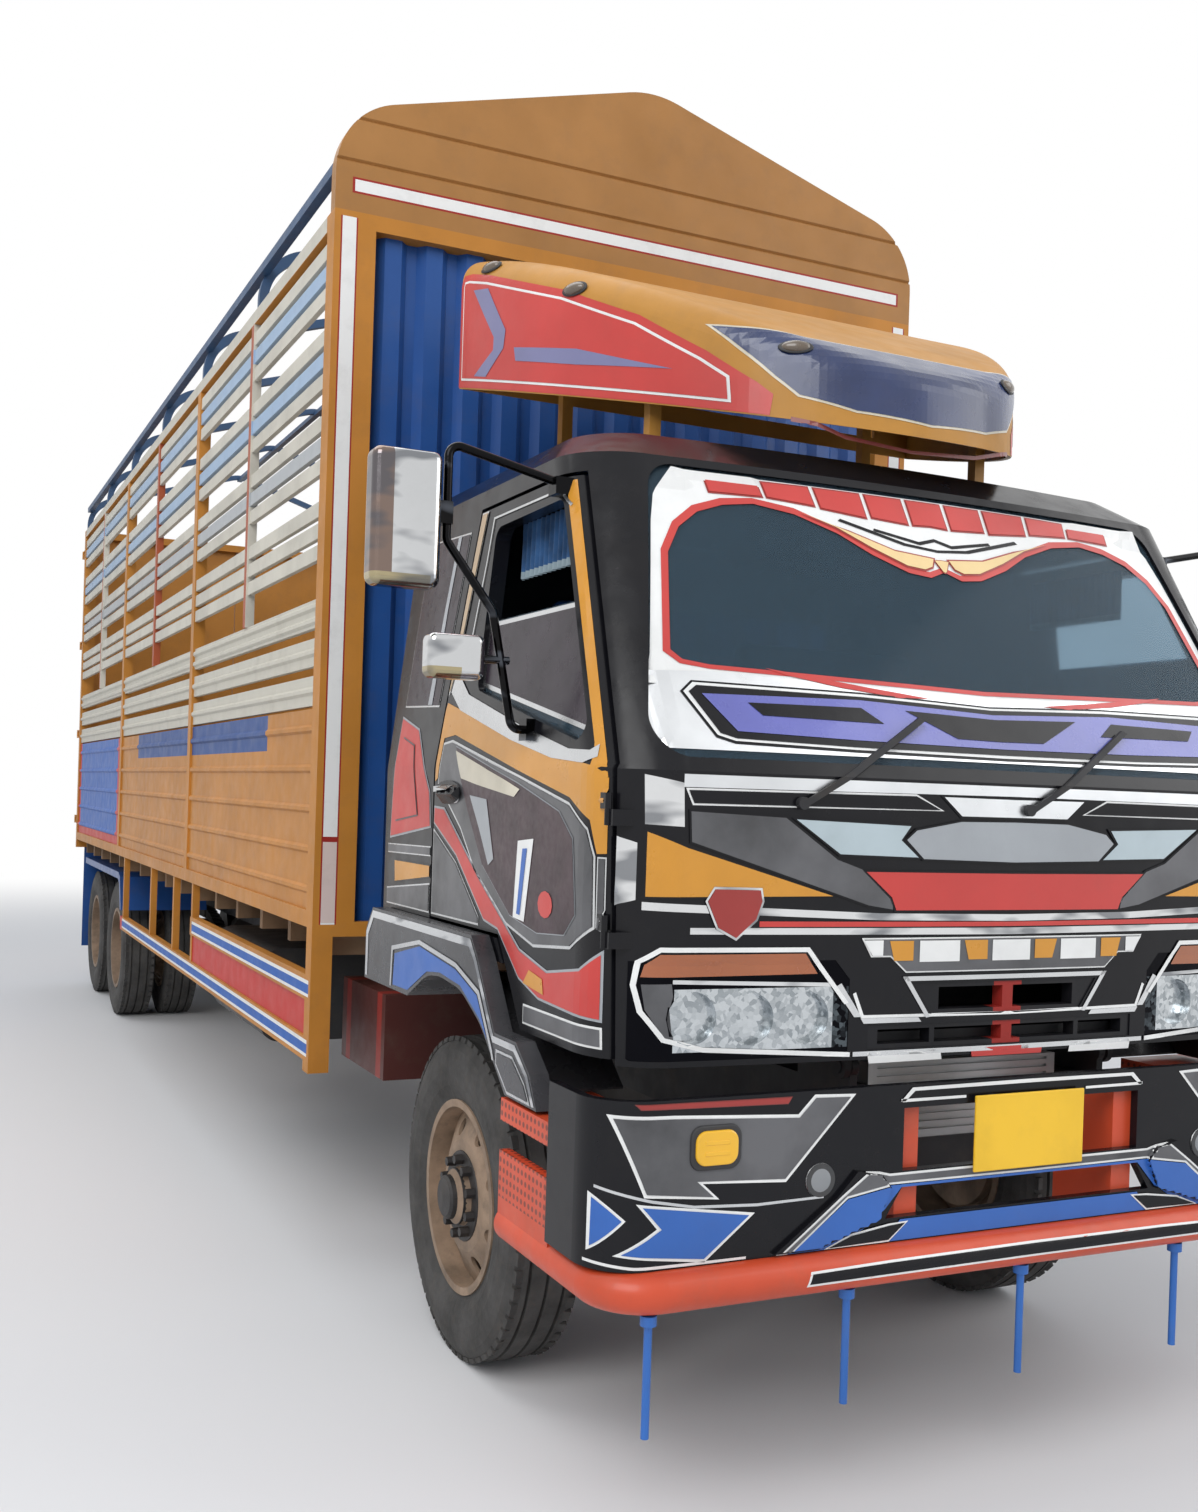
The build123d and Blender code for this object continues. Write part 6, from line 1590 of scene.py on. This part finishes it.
@dataclass
class Wheels:
    """Treaded tyres and wheel nuts, with blocks and nuts in metres and the rest in millimetres."""

    axles: tuple[Axle, ...] = (
        Axle("front", "", 1450.0, (975.0,), 1082.0, 118.0),
        Axle("axle2", "s", 8862.0, (1085.0, 765.0), 944.0, 138.0),
        Axle("axle3", "s", 10173.0, (1085.0, 765.0), 944.0, 138.0),
    )
    axle_height: float = 510.0
    half_width: float = 125.0
    blocks: int = 56
    block_size: tuple[float, float, float] = (0.040, 0.040, 0.016)
    block_place: tuple[float, float] = (0.086, 0.4965)
    block_lean: float = -14.0
    nut_count: int = 10
    nut_length: float = 0.034
    hub_ring: float = 138.0
    hub_profile: Outline = (
        (-17, 168), (-12, 166), (-12, 106), (12, 104), (16, 84), (40, 80), (48, 70), (52, 0.4),
    )

    def build(self) -> None:
        """Make all six wheel positions."""
        for side, name in SIDES:
            for axle in self.axles:
                tag, body = f"{axle.name}_{name}", f"wheel{axle.plural}_{axle.name}_{name}"
                hub = Vector((0.0, station(axle.s), self.axle_height * MM))
                tread = bmesh.new()
                for x in axle.tyres:
                    self.tyre(tread, hub + Vector((side * x * MM, 0, 0)))
                piece = MeshPiece(f"tread_{tag}", body, Paint.rubber, "tyre").make(tread, recalc=True)
                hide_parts(f"tyre{axle.plural}_{tag}")
                bolts = bmesh.new()
                self.nuts(bolts, hub + Vector((side * axle.nuts * MM, 0, 0)), side, axle.ring)
                MeshPiece(f"nuts_{tag}", body, Paint.hub, "rim").make(bolts, recalc=True)

    def profile(self) -> Outline:
        """Return half the tyre's profile, from one bead over the tread to the other.

        Returns:
            The outline.
        """
        half = self.half_width
        left = ((-100, 294), (-104, 318), (-118, 352), (1 - half, 400), (3 - half, 440), (8 - half, 468),
                (20 - half, 492), (34 - half, 500), (-64, 508), (-62, 496), (-54, 496), (-52, 509), (-6, 510),
                (-4, 497), (4, 497), (6, 510))
        return left + tuple((-u, r) for u, r in reversed(left[:-3]))

    def tyre(self, bm: bmesh.types.BMesh, centre: Vector) -> None:
        """Add one tyre with its tread's shoulder blocks.

        Args:
            bm: the mesh to add to.
            centre: the tyre's middle.
        """
        spin_about_x(bm, self.profile(), centre, 72)
        across, out = self.block_place
        for i in range(self.blocks):
            turn = Matrix.Translation(centre) @ Matrix.Rotation(math.tau * i / self.blocks, 4, "X")
            for side, _ in SIDES:
                verts = bmesh.ops.create_cube(bm, size=1.0)["verts"]
                bmesh.ops.scale(bm, vec=self.block_size, verts=verts)
                lean = Matrix.Rotation(side * math.radians(self.block_lean), 4, "Y")
                place = Matrix.Translation(Vector((side * across, 0, out)))
                bmesh.ops.transform(bm, matrix=turn @ place @ lean, verts=verts)

    def nuts(self, bm: bmesh.types.BMesh, centre: Vector, side: int, ring: float) -> None:
        """Add the ring of wheel nuts and the hub's cap.

        Args:
            bm: the mesh to add to.
            centre: the ring's middle.
            side: -1 right, 1 left.
            ring: the ring's radius, in millimetres.
        """
        turn = Matrix.Rotation(math.radians(90) * side, 4, "Y")
        for i in range(self.nut_count):
            angle = math.tau * i / self.nut_count
            verts = bmesh.ops.create_cone(bm, cap_ends=True, segments=6, radius1=0.017, radius2=0.015,
                                          depth=self.nut_length)["verts"]
            place = Matrix.Translation(centre + Vector((0, math.sin(angle), math.cos(angle))) * ring * MM)
            bmesh.ops.transform(bm, matrix=place @ turn, verts=verts)
        reach = ring / self.hub_ring
        spin_about_x(bm, tuple((side * u, r * reach) for u, r in self.hub_profile), centre, 32)


@dataclass
class CabCloth:
    """Pleated curtains and padded seats.

    A seat's cushion, base and back are each a step in from its sides, a front and a back
    station, a foot, a top, a rounding and the rounding's steps. Stations are in
    millimetres, the rest in metres.
    """

    pleats: int = 13
    drop: float = 0.17
    depth: float = 0.010
    curtain_x: float = 1.0175
    seat_spans: tuple[Range, ...] = ((-0.88, -0.33), (0.08, 0.88))
    seat_parts: tuple[tuple[float, float, float, float, float, float, int], ...] = (
        (0.0, 1130, 1640, 1.60, 1.738, 0.045, 4), (0.06, 1230, 1600, 1.391, 1.61, 0.01, 1),
        (0.01, 1640, 1745, 1.70, 2.40, 0.045, 4),
    )
    back_foot: float = 1.70
    lean: float = 0.15

    def build(self) -> None:
        """Make the curtains and the seats."""
        right, _ = [self.curtain(side, name) for side, name in SIDES]
        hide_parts("curtains")
        self.seats()

    def wave(self, along: float) -> float:
        """Return how far the pleats swing at a place along the curtain, from -1 to 1."""
        return math.sin(math.tau * self.pleats * along + 0.35 * math.sin(5 * along))

    def curtain(self, side: int, name: str) -> bpy.types.Object:
        """Make one gathered curtain.

        Args:
            side: -1 right, 1 left.
            name: the side's name.

        Returns:
            The curtain.
        """
        low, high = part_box("curtains")
        length = high[1] - low[1]
        bm = bmesh.new()
        for vert in bmesh.ops.create_grid(bm, x_segments=self.pleats * 12, y_segments=6, size=0.5)["verts"]:
            along, up = vert.co.x + 0.5, 0.5 - vert.co.y
            x = side * (self.curtain_x + self.depth * self.wave(along) * (0.55 + 0.45 * up))
            vert.co = Vector((x, low[1] + along * length, high[2] - up * self.drop))
        piece = MeshPiece(f"curtain_{name}", "cab", Paint.curtain, "curtain_cloth").make(bm, smooth=True)
        return piece

    def seats(self) -> None:
        """Make the padded cushions and backs, standing for the seats' solids."""
        bm = bmesh.new()
        for x0, x1 in self.seat_spans:
            for dx, s0, s1, z0, z1, radius, segments in self.seat_parts:
                start = len(bm.verts)
                low, high = Vector((x0 + dx, station(s0), z0)), Vector((x1 - dx, station(s1), z1))
                rounded_box(bm, low, high, radius, segments)
            bm.verts.ensure_lookup_table()
            for vert in bm.verts[start:]:
                vert.co.y += (vert.co.z - self.back_foot) * self.lean
        piece = MeshPiece("seat_pads", "cab", Paint.seat_cloth, "seat_cloth").make(bm, smooth=True)
        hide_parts("seats")


@dataclass
class Mirrors:
    """Chrome mirror heads on a black arm, with their glasses."""

    heads: tuple[tuple[float, float, float, float, float], ...] = (
        (1470, 1660, 2340, 2700, 770), (1330, 1490, 2110, 2230, 775),
    )
    rim: float = 18.0
    bright: Colour = (0.600, 0.610, 0.620)
    bands: tuple[tuple[float, float, float, float, Colour], ...] = (
        (0, 1472, 1.8, 2.8, (0.012, 0.012, 0.013)), (1330, 1491, 2.108, 2.232, bright),
        (1606, 1665, 2.30, 2.75, (0.230, 0.170, 0.145)), (1500, 1665, 2.30, 2.372, (0.420, 0.360, 0.220)),
        (1400, 1491, 2.10, 2.140, (0.420, 0.360, 0.220)),
    )

    def build(self) -> None:
        """Dress both sides' mirrors."""
        for side, name in SIDES:
            self.finish(side, name).dress(f"mirrors_{name}")
            glass = bmesh.new()
            for x0, x1, z0, z1, back in self.heads:
                a, b = mirrored(side, x0 + self.rim, x1 - self.rim)
                low = Vector((a, station(back - 4), (z0 + self.rim) * MM))
                rounded_box(glass, low, Vector((b, station(back + 2), (z1 - self.rim) * MM)), 0.0028, 2)
            MeshPiece(f"mirror_glass_{name}", f"door_{name}", Paint.mirror_glass, "mirror_black").make(glass)

    def finish(self, side: int, name: str) -> Finish:
        """Return the chrome of one side's heads, with its arm and clips in black and dark streaks of painted
        reflection.

        Args:
            side: -1 right, 1 left.
            name: the side's name.

        Returns:
            The finish.
        """
        patches = tuple(Patch(zone((z0, z1), mirrored(side, x0, x1)), colour)
                        for x0, x1, z0, z1, colour in self.bands)
        return Finish(f"mirror_chrome_{name}", Kind.METAL, self.bright, rough=0.10, mottle=0.04, grime=0.05,
                      pattern=Pattern.STREAKS, patches=patches)


def main() -> None:
    """Build the studio and every sub-assembly in order."""
    logging.basicConfig(level=logging.INFO, format="%(name)s: %(message)s")
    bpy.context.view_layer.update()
    for kind in (Studio, NodePaint, CabFront, Bumper, Doors, RoofDeflector, Wheels, CabCloth, Mirrors):
        part = kind()
        part.build()
        LOG.info("built %s", type(part).__name__)


if __name__ == "__main__":
    main()
